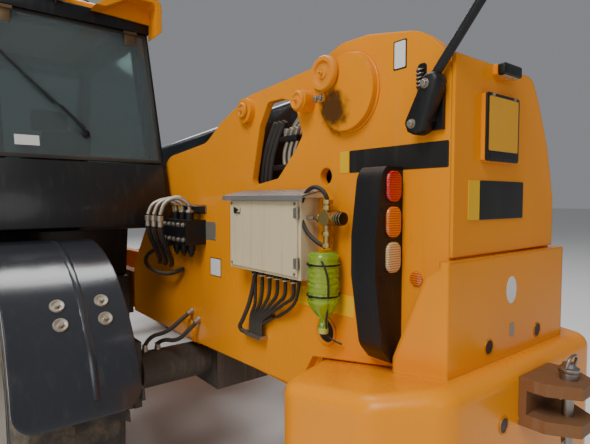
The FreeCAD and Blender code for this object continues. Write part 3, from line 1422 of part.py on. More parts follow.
def rear_mirror():
    """A straight leaning arm from a bracket on the left plate, with a mirror above the tail."""
    x = forward(58)
    y = plate_out + 28
    head_x = x - s.mirror_reach
    knee = s.mirror_top - s.mirror_high - 90
    arm = hose("mirror_tube", [
        (x, y, s.mirror_foot - 35),
        (x - 8, y, s.mirror_foot + 60),
        (head_x, y - 20, knee),
        (head_x, y - 70, knee + 40),
        (head_x, y - 70, knee + 90),
    ], s.mirror_arm_r)
    foot = box("mirror_foot", (x - 40, x + 40), (plate_out, plate_out + 12),
               (s.mirror_foot - 65, s.mirror_foot + 60))
    block = box("mirror_clamp", (x - 22, x + 22), (plate_out + 6, y + 20),
                (s.mirror_foot - 45, s.mirror_foot + 15))
    node("mirror_arm", fuse("mirror_arm_whole", [arm, foot, block]))
    head = box("mirror_head", (head_x - 22, head_x + 22), (y - 170, y + 30),
               (s.mirror_top - s.mirror_high, s.mirror_top))
    node("rear_mirror", head)


def tower_fittings():
    """What hangs on the plates: box, cables, pipes, valves, lamps and mirror."""
    rear_lamps()
    electrical_box()
    cable_clip = box_cables()
    pipes, clamp = slot_pipes()
    elbows = valves()
    group("steel_pipes", pipes + elbows)
    group("pipe_clips", [cable_clip, clamp])
    rear_mirror()




boom_low = s.boom_top - s.boom_deep


def on_boom(obj):
    """Lay a piece drawn along the boom on its slope at the pivot."""
    return place(obj, pivot_x, 0, s.pivot_z, (0, 1, 0), s.boom_slope)


def boom_point(along, up):
    """Where a point of the boom lies in the side view at rest."""
    slope = s.boom_slope
    x = pivot_x + along * cosine(slope) + up * sine(slope)
    z = s.pivot_z - along * sine(slope) + up * cosine(slope)
    return x, z


def tube(name, shrink, wall, start, end):
    """A box tube along the boom, smaller all round than the outer section."""
    half = s.boom_wide / 2 - shrink
    top = s.boom_top - shrink
    low = boom_low + shrink
    outer = prism(f"{name}_outer", "x", [(-half, low), (half, low), (half, top), (-half, top)], (start, end))
    rounded(outer, f"{name}_outer_round", s.boom_round, runs("x", bool))
    half = half - wall
    top = top - wall
    low = low + wall
    inner = prism(f"{name}_inner", "x", [(-half, low), (half, low), (half, top), (-half, top)],
                  (start - 5, end + 5))
    rounded(inner, f"{name}_inner_round", s.boom_round - wall, runs("x", bool))
    return cut(f"{name}_tube", outer, inner)


def pads(name, shrink, end):
    """Wear pads between a section and the next one inside it, at its mouth and further back."""
    made = []
    half = s.boom_wide / 2 - shrink - s.boom_wall
    top = s.boom_top - shrink - s.boom_wall
    low = boom_low + shrink + s.boom_wall
    thick = s.section_gap - s.seat
    x = (end - 90, end - 10)
    made.append(box(f"{name}_pad_top", x, (-60, 60), (top - thick, top + 2)))
    made.append(box(f"{name}_pad_low", x, (-60, 60), (low - 2, low + thick)))
    for side, sign in SIDES:
        y = ((half - thick) * sign, (half + 2) * sign)
        made.append(box(f"{name}_pad_{side}", x, y, (low + 80, top - 80)))
    return made


def boom_sections():
    """Three box sections; the last one carries the dropped nose."""
    head = [
        (-85, -60),
        (-70, 45),
        (0, 95),
        (90, 75),
        (s.boom_start + 20, s.boom_top),
        (s.boom_start + 20, boom_low),
        (140, -260),
        (-20, -95),
    ]
    bore = [(0, 0, s.pivot_r + s.seat)]
    cheek = s.boom_wide / 2 - 15
    hub = prism("boom_head", "y", head, (-cheek, cheek), bore)
    room = box("boom_head_room", (70, s.boom_start + 60), (-cheek + 30, cheek - 30), (boom_low - 5, -20))
    outer = tube("outer", as_size(0), s.boom_wall, s.boom_start, s.boom_end)
    lug_outline = [
        (s.lift_eye_u - 130, boom_low + 4),
        (s.lift_eye_u + 130, boom_low + 4),
        (s.lift_eye_u + 60, -s.lift_eye_w - 55),
        (s.lift_eye_u - 60, -s.lift_eye_w - 55),
    ]
    lugs = []
    for side, sign in SIDES:
        lug_y = (s.eye_ring_r * sign, (s.eye_ring_r + 25) * sign)
        lugs.append(prism(f"lift_lug_{side}", "y", lug_outline, lug_y,
                          [(s.lift_eye_u, -s.lift_eye_w, s.lift_pin_r)]))
    collar = tube("collar", -s.collar_wall, s.collar_wall + 8, s.boom_end - s.collar_long, s.boom_end)
    pieces = [cut("boom_head_cut", hub, room), outer, collar] + lugs + pads("outer", as_size(0), s.boom_end)
    node("boom_outer", on_boom(fuse("boom_outer_whole", pieces)))

    step = s.boom_wall + s.section_gap
    middle_end = s.boom_end + s.section_step
    middle_start = s.boom_start + s.section_hidden
    middle = tube("middle", step, s.boom_wall, middle_start, middle_end)
    pieces = [middle] + pads("middle", step, middle_end)
    node("boom_middle", on_boom(fuse("boom_middle_whole", pieces)))

    inner_end = middle_end + s.section_step
    inner_start = middle_start + s.section_hidden / 2
    inner = tube("inner", step * 2, s.boom_wall, inner_start, inner_end)
    nose_top = s.boom_top - step * 2
    nose_low = boom_low + step * 2
    foot_u = s.nose_reach
    foot_w = -s.nose_drop
    cheek_outline = [
        (inner_end - 120, nose_top),
        (inner_end + 90, nose_top),
        (inner_end + 330, nose_top - 190),
        (foot_u + 60, foot_w + 60),
        (foot_u + 45, foot_w - 45),
        (foot_u - 45, foot_w - 55),
        (foot_u - 90, foot_w + 40),
        (inner_end + 90, nose_low - 30),
        (inner_end - 120, nose_low),
    ]
    spine = [
        (inner_end - 120, nose_low),
        (inner_end + 90, nose_low - 30),
        (foot_u - 90, foot_w + 40),
        (foot_u - 62, foot_w + 55),
        (inner_end + 110, nose_low + 5),
        (inner_end - 120, nose_low + 15),
    ]
    crown = [
        (inner_end - 120, nose_top - 15),
        (inner_end - 120, nose_top),
        (inner_end + 90, nose_top),
        (inner_end + 85, nose_top - 15),
    ]
    pieces = [inner]
    pin = [(foot_u, foot_w, s.tilt_pin_r + s.seat)]
    tilt_foot = (foot_u - s.tilt_back, foot_w + s.tilt_above)
    pieces.append(cylinder("tilt_foot_pin", "y", tilt_foot, s.tilt_pin_r,
                           (-s.nose_half - 10, s.nose_half + 10)))
    for side, sign in SIDES:
        y = ((s.nose_half - s.cheek_wall) * sign, s.nose_half * sign)
        pieces.append(prism(f"nose_cheek_{side}", "y", cheek_outline, y, pin))
    inside = s.nose_half - s.cheek_wall
    pieces.append(prism("nose_spine", "y", spine, (-inside, inside)))
    pieces.append(prism("nose_crown", "y", crown, (-inside, inside)))
    node("boom_inner", on_boom(fuse("boom_inner_whole", pieces)))


def cylinder_pair(name, foot, eye, barrel_r, rod_r, ring_half, pin_r, bare_rod, spare, gland):
    """A hydraulic cylinder between two points of the side view, its rod's eye left open."""
    rise = eye[1] - foot[1]
    run = eye[0] - foot[0]
    length = root(rise * rise + run * run)
    turn = -angle_of(rise, run)
    ring = s.eye_ring_r * 0.8
    mouth = length - ring - bare_rod
    barrel = [
        cylinder(f"{name}_barrel_tube", "x", (0, 0), barrel_r, (ring * 2.2, mouth)),
        cylinder(f"{name}_neck", "x", (0, 0), ring_half * 0.9, (ring * 0.7, ring * 2.2 + 5)),
        cylinder(f"{name}_foot_ring", "y", (0, 0), ring, (-ring_half, ring_half)),
        cylinder(f"{name}_gland", "x", (0, 0), barrel_r + gland, (mouth - barrel_r, mouth - barrel_r * 0.4)),
    ]
    bore = cylinder(f"{name}_foot_bore", "y", (0, 0), pin_r + s.seat, (-ring_half - 5, ring_half + 5))
    inside = cylinder(f"{name}_barrel_bore", "x", (0, 0), rod_r + s.seat, (ring * 2.5, length))
    body = cut(f"{name}_barrel_cut", fuse(f"{name}_barrel_whole", barrel), [bore, inside])
    node(f"{name}_barrel", place(body, foot[0], 0, foot[1], (0, 1, 0), turn))
    rod = [
        cylinder(f"{name}_rod_bar", "x", (0, 0), rod_r, (ring * 2.5 + spare, length - ring * 0.7)),
        cylinder(f"{name}_eye_ring", "y", (length, 0), ring, (-ring_half, ring_half)),
    ]
    node(f"{name}_rod", place(fuse(f"{name}_rod_whole", rod), foot[0], 0, foot[1], (0, 1, 0), turn))
    print(name, "foot", [round(v.number, 2) for v in foot], "eye", [round(v.number, 2) for v in eye],
          "length", round(length.number, 2))


def lift_cylinder():
    foot = (forward(s.lift_back), s.lift_low)
    eye = boom_point(s.lift_eye_u, -s.lift_eye_w)
    half = s.eye_ring_r - 6
    cylinder_pair("lift_cylinder", foot, eye, s.lift_barrel_r, s.lift_rod_r, half, s.lift_pin_r,
                  s.lift_bare_rod, s.lift_spare, s.lift_gland)
    pieces = [cylinder("lift_foot_pin", "y", foot, s.lift_pin_r, (-s.rail_out + 20, s.rail_out - 20))]
    for side, sign in SIDES:
        y = ((half + 6) * sign, (half + 31) * sign)
        pieces.append(box(f"lift_foot_lug_{side}", (foot[0] - 60, foot[0] + 60), y,
                          (s.rail_low + 5, foot[1] + 60)))
    return pieces


def tilt_cylinder():
    foot = boom_point(s.nose_reach - s.tilt_back, s.tilt_above - s.nose_drop)
    pivot = boom_point(s.nose_reach, -s.nose_drop)
    eye = (pivot[0] + s.lever_back, pivot[1] + s.lever_up)
    half = s.nose_half - s.cheek_wall - 50
    cylinder_pair("tilt_cylinder", foot, eye, s.tilt_barrel_r, s.tilt_rod_r, half, s.tilt_pin_r,
                  s.tilt_bare_rod, s.tilt_spare, s.tilt_gland)


def carriage():
    """Fork carriage with its pivot lugs, tilt lever and load guard, and two tines."""
    pivot = boom_point(s.nose_reach, -s.nose_drop)
    print("carriage pivot", [round(v.number, 2) for v in pivot])
    back = pivot[0] + s.carriage_ahead
    front = back + s.bar_wall
    half = s.carriage_half
    pieces = []
    for label, low, high in (("low", s.carriage_low, s.carriage_low + 100),
                             ("top", pivot[1] + 120, pivot[1] + 200),
                             ("guard", s.carriage_top - 50, s.carriage_top)):
        pieces.append(box(f"bar_{label}", (back, front), (-half, half), (low, high)))
    for index, share in enumerate((-1, -0.5, 0.5, 1)):
        middle = (half - 25) * share
        pieces.append(box(f"upright_{index}", (back, front), (middle - 25, middle + 25),
                          (s.carriage_low, s.carriage_top)))
    for side, sign in SIDES:
        y = ((s.nose_half + 6) * sign, (s.nose_half + 36) * sign)
        lug = [
            (pivot[0] - 55, pivot[1] - 40),
            (pivot[0] - 55, pivot[1] + 40),
            (front - 5, pivot[1] + 200),
            (front - 5, s.carriage_low),
            (back, s.carriage_low),
        ]
        pieces.append(prism(f"carriage_lug_{side}", "y", lug, y))
        lever_y = (s.eye_ring_r * 0.6 * sign, (s.eye_ring_r * 0.6 + 20) * sign)
        lever = [
            (pivot[0] - 35, pivot[1] - 30),
            (pivot[0] + s.lever_back - 45, pivot[1] + s.lever_up + 30),
            (pivot[0] + s.lever_back + 30, pivot[1] + s.lever_up + 30),
            (front - 5, pivot[1] + 200),
            (front - 5, pivot[1]),
        ]
        pieces.append(prism(f"lever_{side}", "y", lever, lever_y))
    reach = s.nose_half + 40
    pieces.append(cylinder("carriage_pin", "y", pivot, s.tilt_pin_r, (-reach, reach)))
    node("fork_carriage", fuse("carriage_whole", pieces))
    tines = []
    for side, sign in SIDES:
        heel = front + s.tine_wall
        outline = [
            (front, s.carriage_low),
            (heel + 250, s.carriage_low),
            (heel + s.tine_long, s.carriage_low + s.tine_wall - 10),
            (heel + s.tine_long, s.carriage_low + s.tine_wall),
            (heel + 20, s.carriage_low + s.tine_wall),
            (heel, s.carriage_low + s.tine_wall + 20),
            (heel, pivot[1] + 200),
            (front, pivot[1] + 200),
        ]
        middle = s.tine_out * sign
        tines.append(prism(f"tine_{side}", "y", outline,
                           (middle - s.tine_wide / 2, middle + s.tine_wide / 2)))
    group("fork_tines", tines)


def stabilisers():
    """Legs folded up across the front, each with a pad that lies flat when it is down."""
    x = (forward(s.rail_front) - 105, forward(s.rail_front) - 25)
    swing = s.leg_swing - s.leg_rise
    out_y, out_z = cosine(90 - swing), -sine(90 - swing)
    along_y, along_z = sine(90 - swing), cosine(90 - swing)
    for side, sign in SIDES:
        arm = prism(f"leg_arm_{side}", "x", [
            (-45 * sign, -45),
            (-45 * sign, 45),
            (s.leg_long * 0.8 * sign, 35),
            (s.leg_long * sign, 20),
            (s.leg_long * sign, -20),
            (s.leg_long * 0.8 * sign, -35),
        ], x, [(0, 0, s.leg_pin_r + s.seat)])
        plate = []
        for reach, depth in ((-1, 0), (1, 0), (1, 1), (-1, 1)):
            y = s.leg_long + along_y * s.pad_half * reach + out_y * s.pad_wall * depth
            z = along_z * s.pad_half * reach + out_z * s.pad_wall * depth
            plate.append((y * sign, z))
        foot = prism(f"leg_pad_{side}", "x", plate, (x[0] - 60, x[1] + 60))
        whole = fuse(f"leg_whole_{side}", [arm, foot])
        place(whole, 0, s.leg_in * sign, s.leg_z, (1, 0, 0), s.leg_rise * sign)
        node(f"stabiliser_{side}", whole)


tower_plates()
rear_panel()
counterweight()
tow_hitch()
chassis_frame()
wheels()
cab()
side_tanks()
boom_sections()
tilt_cylinder()
carriage()
stabilisers()
tower_fittings()

doc.recompute()
for item in doc.Objects:
    if "Invalid" in item.State or "Error" in item.State:
        raise RuntimeError(f"{item.Name}: {item.State}")
for name, obj in nodes.items():
    if obj.Shape.isNull() or not obj.Shape.isValid() or obj.Shape.Volume <= 0:
        raise RuntimeError(f"{name} has no sound solid")

os.makedirs("parts", exist_ok=True)
for name, obj in nodes.items():
    obj.Shape.exportStep(f"parts/{name}.step")
whole = FreeCAD.BoundBox()
for obj in nodes.values():
    whole.add(obj.Shape.BoundBox)
print(len(nodes), "nodes", whole)
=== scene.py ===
"""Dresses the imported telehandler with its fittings, finishes, light and camera."""

import math

import bpy
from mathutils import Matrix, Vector


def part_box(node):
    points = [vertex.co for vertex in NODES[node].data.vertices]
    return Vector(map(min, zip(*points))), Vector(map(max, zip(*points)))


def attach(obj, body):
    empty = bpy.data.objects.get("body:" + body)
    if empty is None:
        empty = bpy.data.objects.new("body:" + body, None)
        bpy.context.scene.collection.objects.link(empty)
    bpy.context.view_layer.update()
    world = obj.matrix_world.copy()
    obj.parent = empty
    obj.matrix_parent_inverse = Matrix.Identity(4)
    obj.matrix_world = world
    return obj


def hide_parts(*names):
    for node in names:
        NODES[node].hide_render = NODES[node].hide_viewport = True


bl_info = {
    "name": "Telehandler dressing",
    "version": (1, 0, 0),
    "blender": (4, 5, 0),
    "location": "3D View > Sidebar > Telehandler",
    "description": "Adds the fittings, paint, glass and light of a telehandler to its packed solids",
    "category": "Object",
}

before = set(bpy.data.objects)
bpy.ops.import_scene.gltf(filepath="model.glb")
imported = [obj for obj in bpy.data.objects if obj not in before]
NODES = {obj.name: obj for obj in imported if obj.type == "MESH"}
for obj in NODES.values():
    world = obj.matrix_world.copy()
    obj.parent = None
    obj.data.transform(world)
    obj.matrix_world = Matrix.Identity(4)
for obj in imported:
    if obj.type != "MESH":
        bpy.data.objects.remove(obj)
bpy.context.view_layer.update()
SIDES = (("left", 1), ("right", -1))
CORNERS = tuple(f"{end}_{side}" for end in ("rear", "front") for side, sign in SIDES)
LEFT = (0, 1, 0)
BACK = (-1, 0, 0)
UP = (0, 0, 1)
DOWN = (0, 0, -1)
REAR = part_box("tower_plate_left")[0][0]
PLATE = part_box("electrical_box")[0][1]


def ahead(distance):
    """X of a point this far ahead of the tower's rear face."""
    return REAR + distance


def paint(label, colour, note):
    """A colour that can be set in the panel."""
    return bpy.props.FloatVectorProperty(
        name=label, description=note, default=colour, size=3, min=0, max=1, subtype="COLOR")


class PaintSettings(bpy.types.PropertyGroup):
    """Colours of the machine's main finishes."""

    body: paint("Body paint", (0.80, 0.262, 0.0), "Gloss paint of the tower, panels and counterweight")
    dark: paint("Dark paint", (0.006, 0.009, 0.014), "Blue-grey gloss paint of the boom and axles")
    cab: paint("Cab paint", (0.004, 0.0045, 0.006), "Satin black of the cab frame")
    guard: paint("Mudguard plastic", (0.016, 0.019, 0.026), "Moulded dark grey plastic")
    rim: paint("Wheel paint", (0.30, 0.30, 0.28), "Grey paint of the wheel discs")
    box: paint("Box enamel", (0.68, 0.57, 0.35), "Beige enamel of the electrical box")


class CameraSettings(bpy.types.PropertyGroup):
    """Where the picture is taken from."""

    place: bpy.props.FloatVectorProperty(
        name="Place", description="Camera's position", default=(-4.347, 1.425, 1.53),
        size=3, unit="LENGTH", subtype="TRANSLATION")
    heading: bpy.props.FloatProperty(
        name="Heading", description="Angle of view from straight ahead, towards the right side",
        default=math.radians(38.46), unit="ROTATION")
    pitch: bpy.props.FloatProperty(
        name="Pitch", description="Downward tilt", default=math.radians(2.8), unit="ROTATION")
    lens: bpy.props.FloatProperty(
        name="Lens", description="Focal length on a 36 mm sensor, in millimetres", default=28.7, min=10)


class FittingSettings(bpy.types.PropertyGroup):
    """Sizes of fittings that repeat."""

    bolt: bpy.props.FloatProperty(
        name="Bolt head", description="Width of a common bolt head", default=0.024, unit="LENGTH")
    seal: bpy.props.FloatProperty(
        name="Seal", description="Width of the rubber round the windows", default=0.022, unit="LENGTH")


TURN = {"x": (0, math.pi / 2, 0), "y": (-math.pi / 2, 0, 0), "z": (0, 0, 0)}
MATERIALS = {}


def pick(*pieces):
    """Select these pieces alone, the first as the active one."""
    bpy.ops.object.select_all(action="DESELECT")
    for piece in pieces:
        piece.select_set(True)
    if pieces:
        bpy.context.view_layer.objects.active = pieces[0]


def facing(way):
    """Turn that brings +Z to an axis, which is given by its letter or as a vector."""
    return TURN[way] if isinstance(way, str) else Vector(way).to_track_quat("Z", "Y").to_euler()


def settle(piece):
    """Put the place and turn of a piece into its mesh."""
    pick(piece)
    bpy.ops.object.transform_apply(location=True, rotation=True, scale=True)
    return piece


def block(name, low, high):
    """A cuboid between two opposite corners."""
    pick()
    low, high = Vector(low), Vector(high)
    bpy.ops.mesh.primitive_cube_add(size=1, location=(low + high) / 2)
    piece = bpy.context.object
    piece.name = name
    piece.scale = high - low
    return settle(piece)


def bar(name, centre, radius, length, axis="y", sides=24):
    """A round bar centred on a point, along an axis."""
    pick()
    bpy.ops.mesh.primitive_cylinder_add(
        vertices=sides, radius=radius, depth=length, location=centre, rotation=facing(axis))
    piece = bpy.context.object
    piece.name = name
    return settle(piece)


def nut(name, centre, radius, height, axis, edge=0.001):
    """A hexagon with its edges broken."""
    return rounded(bar(name, centre, radius, height, axis, 6), edge, 1, 30)


def outlined(name, points, fill="NGON"):
    """A closed line through points, filled with one face or left open."""
    pick()
    bpy.ops.mesh.primitive_circle_add(vertices=len(points), fill_type=fill)
    piece = bpy.context.object
    piece.name = name
    for vertex, point in zip(piece.data.vertices, points):
        vertex.co = point
    return piece


def face_outwards():
    """Turn all normals of the mesh in edit mode outwards."""
    bpy.ops.mesh.select_all(action="SELECT")
    bpy.ops.mesh.normals_make_consistent(inside=False)


def plate(name, corners, thickness):
    """A flat sheet with the given corners, thickened to the side that its order faces."""
    piece = outlined(name, corners)
    piece.data.update()
    push = piece.data.polygons[0].normal * thickness
    bpy.ops.object.mode_set(mode="EDIT")
    bpy.ops.mesh.select_all(action="SELECT")
    bpy.ops.mesh.extrude_region_move(TRANSFORM_OT_translate={"value": push})
    face_outwards()
    bpy.ops.object.mode_set(mode="OBJECT")
    return piece


def flat(name, outline, axis, level, thickness):
    """A sheet cut to an outline across an axis, standing out from a level."""
    number = "xyz".index(axis)
    corners = []
    for values in outline:
        corner = list(values)
        corner.insert(number, level)
        corners.append(corner)
    piece = plate(name, corners, abs(thickness))
    low = min(vertex.co[number] for vertex in piece.data.vertices)
    shift = min(level, level + thickness) - low
    for vertex in piece.data.vertices:
        vertex.co[number] += shift
    piece.data.update()
    return piece


def card(low, high, corner, steps=3):
    """Outline of a rectangle with rounded corners."""
    centres = (
        (high[0] - corner, high[1] - corner),
        (low[0] + corner, high[1] - corner),
        (low[0] + corner, low[1] + corner),
        (high[0] - corner, low[1] + corner),
    )
    points = []
    for index, (across, up) in enumerate(centres):
        for step in range(steps + 1):
            angle = math.pi / 2 * (index + step / steps)
            points.append((across + corner * math.cos(angle), up + corner * math.sin(angle)))
    return points


def oval(across, up, wide, high, count=28):
    """Outline of an ellipse with the given half width and half height."""
    angles = [math.tau * step / count for step in range(count)]
    return [(across + wide * math.cos(angle), up + high * math.sin(angle)) for angle in angles]


def turned(name, profile, centre, axis="z", steps=32):
    """A round piece spun from a profile of (radius, height) that starts and ends on its axis."""
    piece = outlined(name, [(radius, 0, height) for radius, height in profile], "NOTHING")
    closing = {0, len(profile) - 1}
    for edge in piece.data.edges:
        edge.select = set(edge.vertices) == closing
    for vertex in piece.data.vertices:
        vertex.select = False
    bpy.ops.object.mode_set(mode="EDIT")
    bpy.ops.mesh.select_mode(type="EDGE")
    bpy.ops.mesh.delete(type="EDGE_FACE")
    bpy.ops.mesh.select_all(action="SELECT")
    bpy.ops.mesh.spin(steps=steps, angle=math.tau, center=(0, 0, 0), axis=UP)
    bpy.ops.mesh.select_all(action="SELECT")
    bpy.ops.mesh.remove_doubles(threshold=0.00002)
    face_outwards()
    bpy.ops.mesh.select_mode(type="VERT")
    bpy.ops.object.mode_set(mode="OBJECT")
    piece.rotation_euler = facing(axis)
    piece.location = centre
    return settle(piece)


def pipe(name, points, radius, turns=3):
    """A round tube along a smooth line guided by the given points, closed at its ends."""
    pick()
    bpy.ops.curve.primitive_nurbs_path_add()
    line = bpy.context.object
    line.name = name
    line.data.splines.clear()
    spline = line.data.splines.new("NURBS")
    spline.points.add(len(points) - 1)
    for control, point in zip(spline.points, points):
        control.co = (*point, 1)
    spline.use_endpoint_u = True
    spline.order_u = 3
    spline.resolution_u = 6
    line.data.dimensions = "3D"
    line.data.bevel_depth = radius
    line.data.bevel_resolution = turns
    line.data.use_fill_caps = True
    pick(line)
    bpy.ops.object.convert(target="MESH")
    return smooth(settle(bpy.context.object), 60)


def use_modifier(piece, kind, **values):
    """Add a modifier with its values and apply it."""
    pick(piece)
    modifier = piece.modifiers.new(kind.title(), kind)
    for key, value in values.items():
        setattr(modifier, key, value)
    bpy.ops.object.modifier_apply(modifier=modifier.name)
    return piece


def rounded(piece, width, segments=2, angle=35):
    """Round the edges that are sharper than an angle."""
    use_modifier(piece, "BEVEL", width=width, segments=segments, limit_method="ANGLE",
                 angle_limit=math.radians(angle), harden_normals=False)
    return smooth(piece, angle)


def smooth(piece, angle=40):
    """Shade a piece smooth except at edges sharper than an angle."""
    pick(piece)
    bpy.ops.object.shade_smooth_by_angle(angle=math.radians(angle), keep_sharp_edges=True)
    return piece


def join(name, pieces):
    """Make several meshes one piece."""
    pick(*pieces)
    if len(pieces) > 1:
        bpy.ops.object.join()
    pieces[0].name = name
    return pieces[0]


def dress(piece, finish, body="chassis", stands_for=()):
    """Give a finished piece its material, its body and the node that it stands for."""
    piece.data.materials.clear()
    piece.data.materials.append(MATERIALS[finish])
    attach(piece, body)
    if stands_for:
        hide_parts(*stands_for)
    return piece


def gather(name, pieces, finish, body="chassis"):
    """Join pieces and dress them as one."""
    return dress(join(name, pieces), finish, body)


def spun(name, profile, centre, way, finish, steps=24, angle=40, body="chassis"):
    """A dressed round piece."""
    return dress(smooth(turned(name, profile, centre, way, steps), angle), finish, body)


def slab(name, outline, axis, level, out, edge, finish, segments=2, angle=40, stands_for=()):
    """A dressed sheet with rounded edges, standing out from a level."""
    piece = rounded(flat(name, outline, axis, level, out), edge, segments, angle)
    return dress(piece, finish, stands_for=stands_for)


def label(name, low, high, finish, axis="y", level=PLATE, out=0.0012):
    """A blank rounded sticker or thin plate on a flat face."""
    return dress(flat(name, card(low, high, 0.004), axis, level, out), finish)


def bolts(name, points, way, finish="zinc", body="chassis", width=None):
    """Hex heads on washers that face along a direction."""
    width = width or bpy.context.scene.fitting_settings.bolt
    way = Vector(way)
    made = []
    for point in points:
        point = Vector(point)
        made.append(bar(name, point + way * width * 0.06, width * 0.66, width * 0.12, way, 20))
        made.append(nut(name, point + way * width * 0.34, width * 0.5, width * 0.46, way, width * 0.06))
    return gather(name, made, finish, body)


def union(name, place, way, radius, long):
    """Hex union nut with a round ferrule behind it."""
    place, way = Vector(place), Vector(way).normalized()
    end = nut(name, place, radius, long * 0.45, way, radius * 0.08)
    collar = bar(name, place - way * long * 0.45, radius * 0.78, long * 0.5, way, 20)
    return [end, smooth(collar)]


def tube(name, points, radius, finish="rubber", turns=3):
    """A dressed round tube."""
    return dress(pipe(name, points, radius, turns), finish)


DUST = (0.30, 0.235, 0.16)
RUST = (0.105, 0.032, 0.012)
NUMBER = "NodeSocketFloat"


def group_nodes(name, inputs, outputs):
    """An empty shader group with its sockets, and its input and output nodes."""
    tree = bpy.data.node_groups.new(name, "ShaderNodeTree")
    for title, value in inputs:
        socket = tree.interface.new_socket(name=title, in_out="INPUT", socket_type=NUMBER)
        socket.default_value = value
    for title in outputs:
        tree.interface.new_socket(name=title, in_out="OUTPUT", socket_type=NUMBER)
    return tree, tree.nodes.new("NodeGroupInput"), tree.nodes.new("NodeGroupOutput")


def feed(tree, socket, value):
    """Link a socket to another one, or give it a number."""
    if isinstance(value, (int, float)):
        socket.default_value = value
    else:
        tree.links.new(value, socket)


def math_node(tree, operation, *values):
    """A math node fed by sockets or numbers; gives its output."""
    made = tree.nodes.new("ShaderNodeMath")
    made.operation = operation
    for socket, value in zip(made.inputs, values):
        feed(tree, socket, value)
    return made.outputs[0]


def object_place(tree):
    """The place on the object itself, as a socket."""
    return tree.nodes.new("ShaderNodeTexCoord").outputs["Object"]


def noise_node(tree, place, scale, detail=4, rough=0.55, stretch=None):
    """Noise over a place socket, stretched along the axes where asked."""
    if stretch:
        mapping = tree.nodes.new("ShaderNodeMapping")
        mapping.inputs["Scale"].default_value = stretch
        tree.links.new(place, mapping.inputs["Vector"])
        place = mapping.outputs["Vector"]
    made = tree.nodes.new("ShaderNodeTexNoise")
    feed(tree, made.inputs["Scale"], scale)
    made.inputs["Detail"].default_value = detail
    made.inputs["Roughness"].default_value = rough
    tree.links.new(place, made.inputs["Vector"])
    return made.outputs["Fac"]


def step_node(tree, value, low, high):
    """0 below one value of the socket, 1 above another, smooth between them."""
    made = tree.nodes.new("ShaderNodeMapRange")
    made.interpolation_type = "SMOOTHSTEP"
    made.inputs["From Min"].default_value = low
    made.inputs["From Max"].default_value = high
    tree.links.new(value, made.inputs["Value"])
    return made.outputs["Result"]


def less(tree, value):
    """One minus a socket."""
    return math_node(tree, "SUBTRACT", 1.0, value)


def height_of(tree, vector):
    """The Z part of a vector socket."""
    made = tree.nodes.new("ShaderNodeSeparateXYZ")
    tree.links.new(vector, made.inputs[0])
    return made.outputs["Z"]


def weather_group():
    """Masks of settled dust, rubbed scratches, rust specks and run-down streaks."""
    tree, given, result = group_nodes(
        "Weather", (("Dust", 0.3), ("Specks", 0.2)), ("Dust", "Scratch", "Rust", "Streak", "Shade"))
    place = object_place(tree)
    facing_up = height_of(tree, tree.nodes.new("ShaderNodeNewGeometry").outputs["Normal"])
    height = height_of(tree, place)

    patches = step_node(tree, noise_node(tree, place, scale=2.3, detail=6), low=0.35, high=0.75)
    up = step_node(tree, facing_up, low=-0.1, high=1.0)
    near_ground = less(tree, step_node(tree, height, low=0.25, high=1.3))
    settled = math_node(tree, "MAXIMUM", math_node(tree, "MULTIPLY", up, 0.8), near_ground)
    settled = math_node(tree, "MULTIPLY", settled, 0.8)
    patches = math_node(tree, "MULTIPLY", patches, 0.35)
    dust = math_node(tree, "ADD", settled, patches)
    dust = math_node(tree, "MULTIPLY", dust, given.outputs["Dust"])
    fine = noise_node(tree, place, scale=60, detail=3)
    dust = math_node(tree, "MULTIPLY", dust, math_node(tree, "MULTIPLY_ADD", fine, 0.7, 0.65))
    tree.links.new(dust, result.inputs["Dust"])

    lines = noise_node(tree, place, scale=9, detail=2, rough=0.4, stretch=(1.0, 14.0, 22.0))
    mask = step_node(tree, noise_node(tree, place, scale=5, detail=3), low=0.52, high=0.68)
    scratch = math_node(tree, "MULTIPLY", step_node(tree, lines, low=0.70, high=0.76), mask)
    tree.links.new(scratch, result.inputs["Scratch"])

    spots = tree.nodes.new("ShaderNodeTexVoronoi")
    spots.inputs["Scale"].default_value = 26
    tree.links.new(place, spots.inputs["Vector"])
    near_spot = less(tree, step_node(tree, spots.outputs["Distance"], low=0.03, high=0.12))
    chance = step_node(tree, noise_node(tree, place, scale=3.1, detail=2), low=0.60, high=0.72)
    rust = math_node(tree, "MULTIPLY", near_spot, chance)
    rust = math_node(tree, "MULTIPLY", rust, given.outputs["Specks"])
    tree.links.new(rust, result.inputs["Rust"])

    runs = noise_node(tree, place, scale=4, detail=3, rough=0.5, stretch=(9.0, 9.0, 0.5))
    upright = less(tree, math_node(tree, "ABSOLUTE", facing_up))
    streak = math_node(tree, "MULTIPLY", step_node(tree, runs, low=0.52, high=0.80), upright)
    tree.links.new(streak, result.inputs["Streak"])
    tree.links.new(noise_node(tree, place, scale=1.1, detail=2), result.inputs["Shade"])
    return tree


def grain_group():
    """Height of a fine skin, such as sprayed paint, moulded plastic or cast metal."""
    tree, given, result = group_nodes("Grain", (("Scale", 300.0), ("Waves", 0.3)), ("Height",))
    place = object_place(tree)
    fine = noise_node(tree, place, given.outputs["Scale"], detail=2)
    waves = noise_node(tree, place, scale=3.0, detail=2)
    height = math_node(tree, "MULTIPLY_ADD", waves, given.outputs["Waves"], fine)
    tree.links.new(height, result.inputs["Height"])
    return tree


def mix_colour(tree, amount, below, above):
    """One colour over another by a mask; gives the output socket."""
    made = tree.nodes.new("ShaderNodeMix")
    made.data_type = "RGBA"
    feed(tree, made.inputs[0], amount)
    for socket, value in ((made.inputs[6], below), (made.inputs[7], above)):
        if hasattr(value, "links"):
            tree.links.new(value, socket)
        else:
            socket.default_value = (*tuple(value)[:3], 1)
    return made.outputs[2]


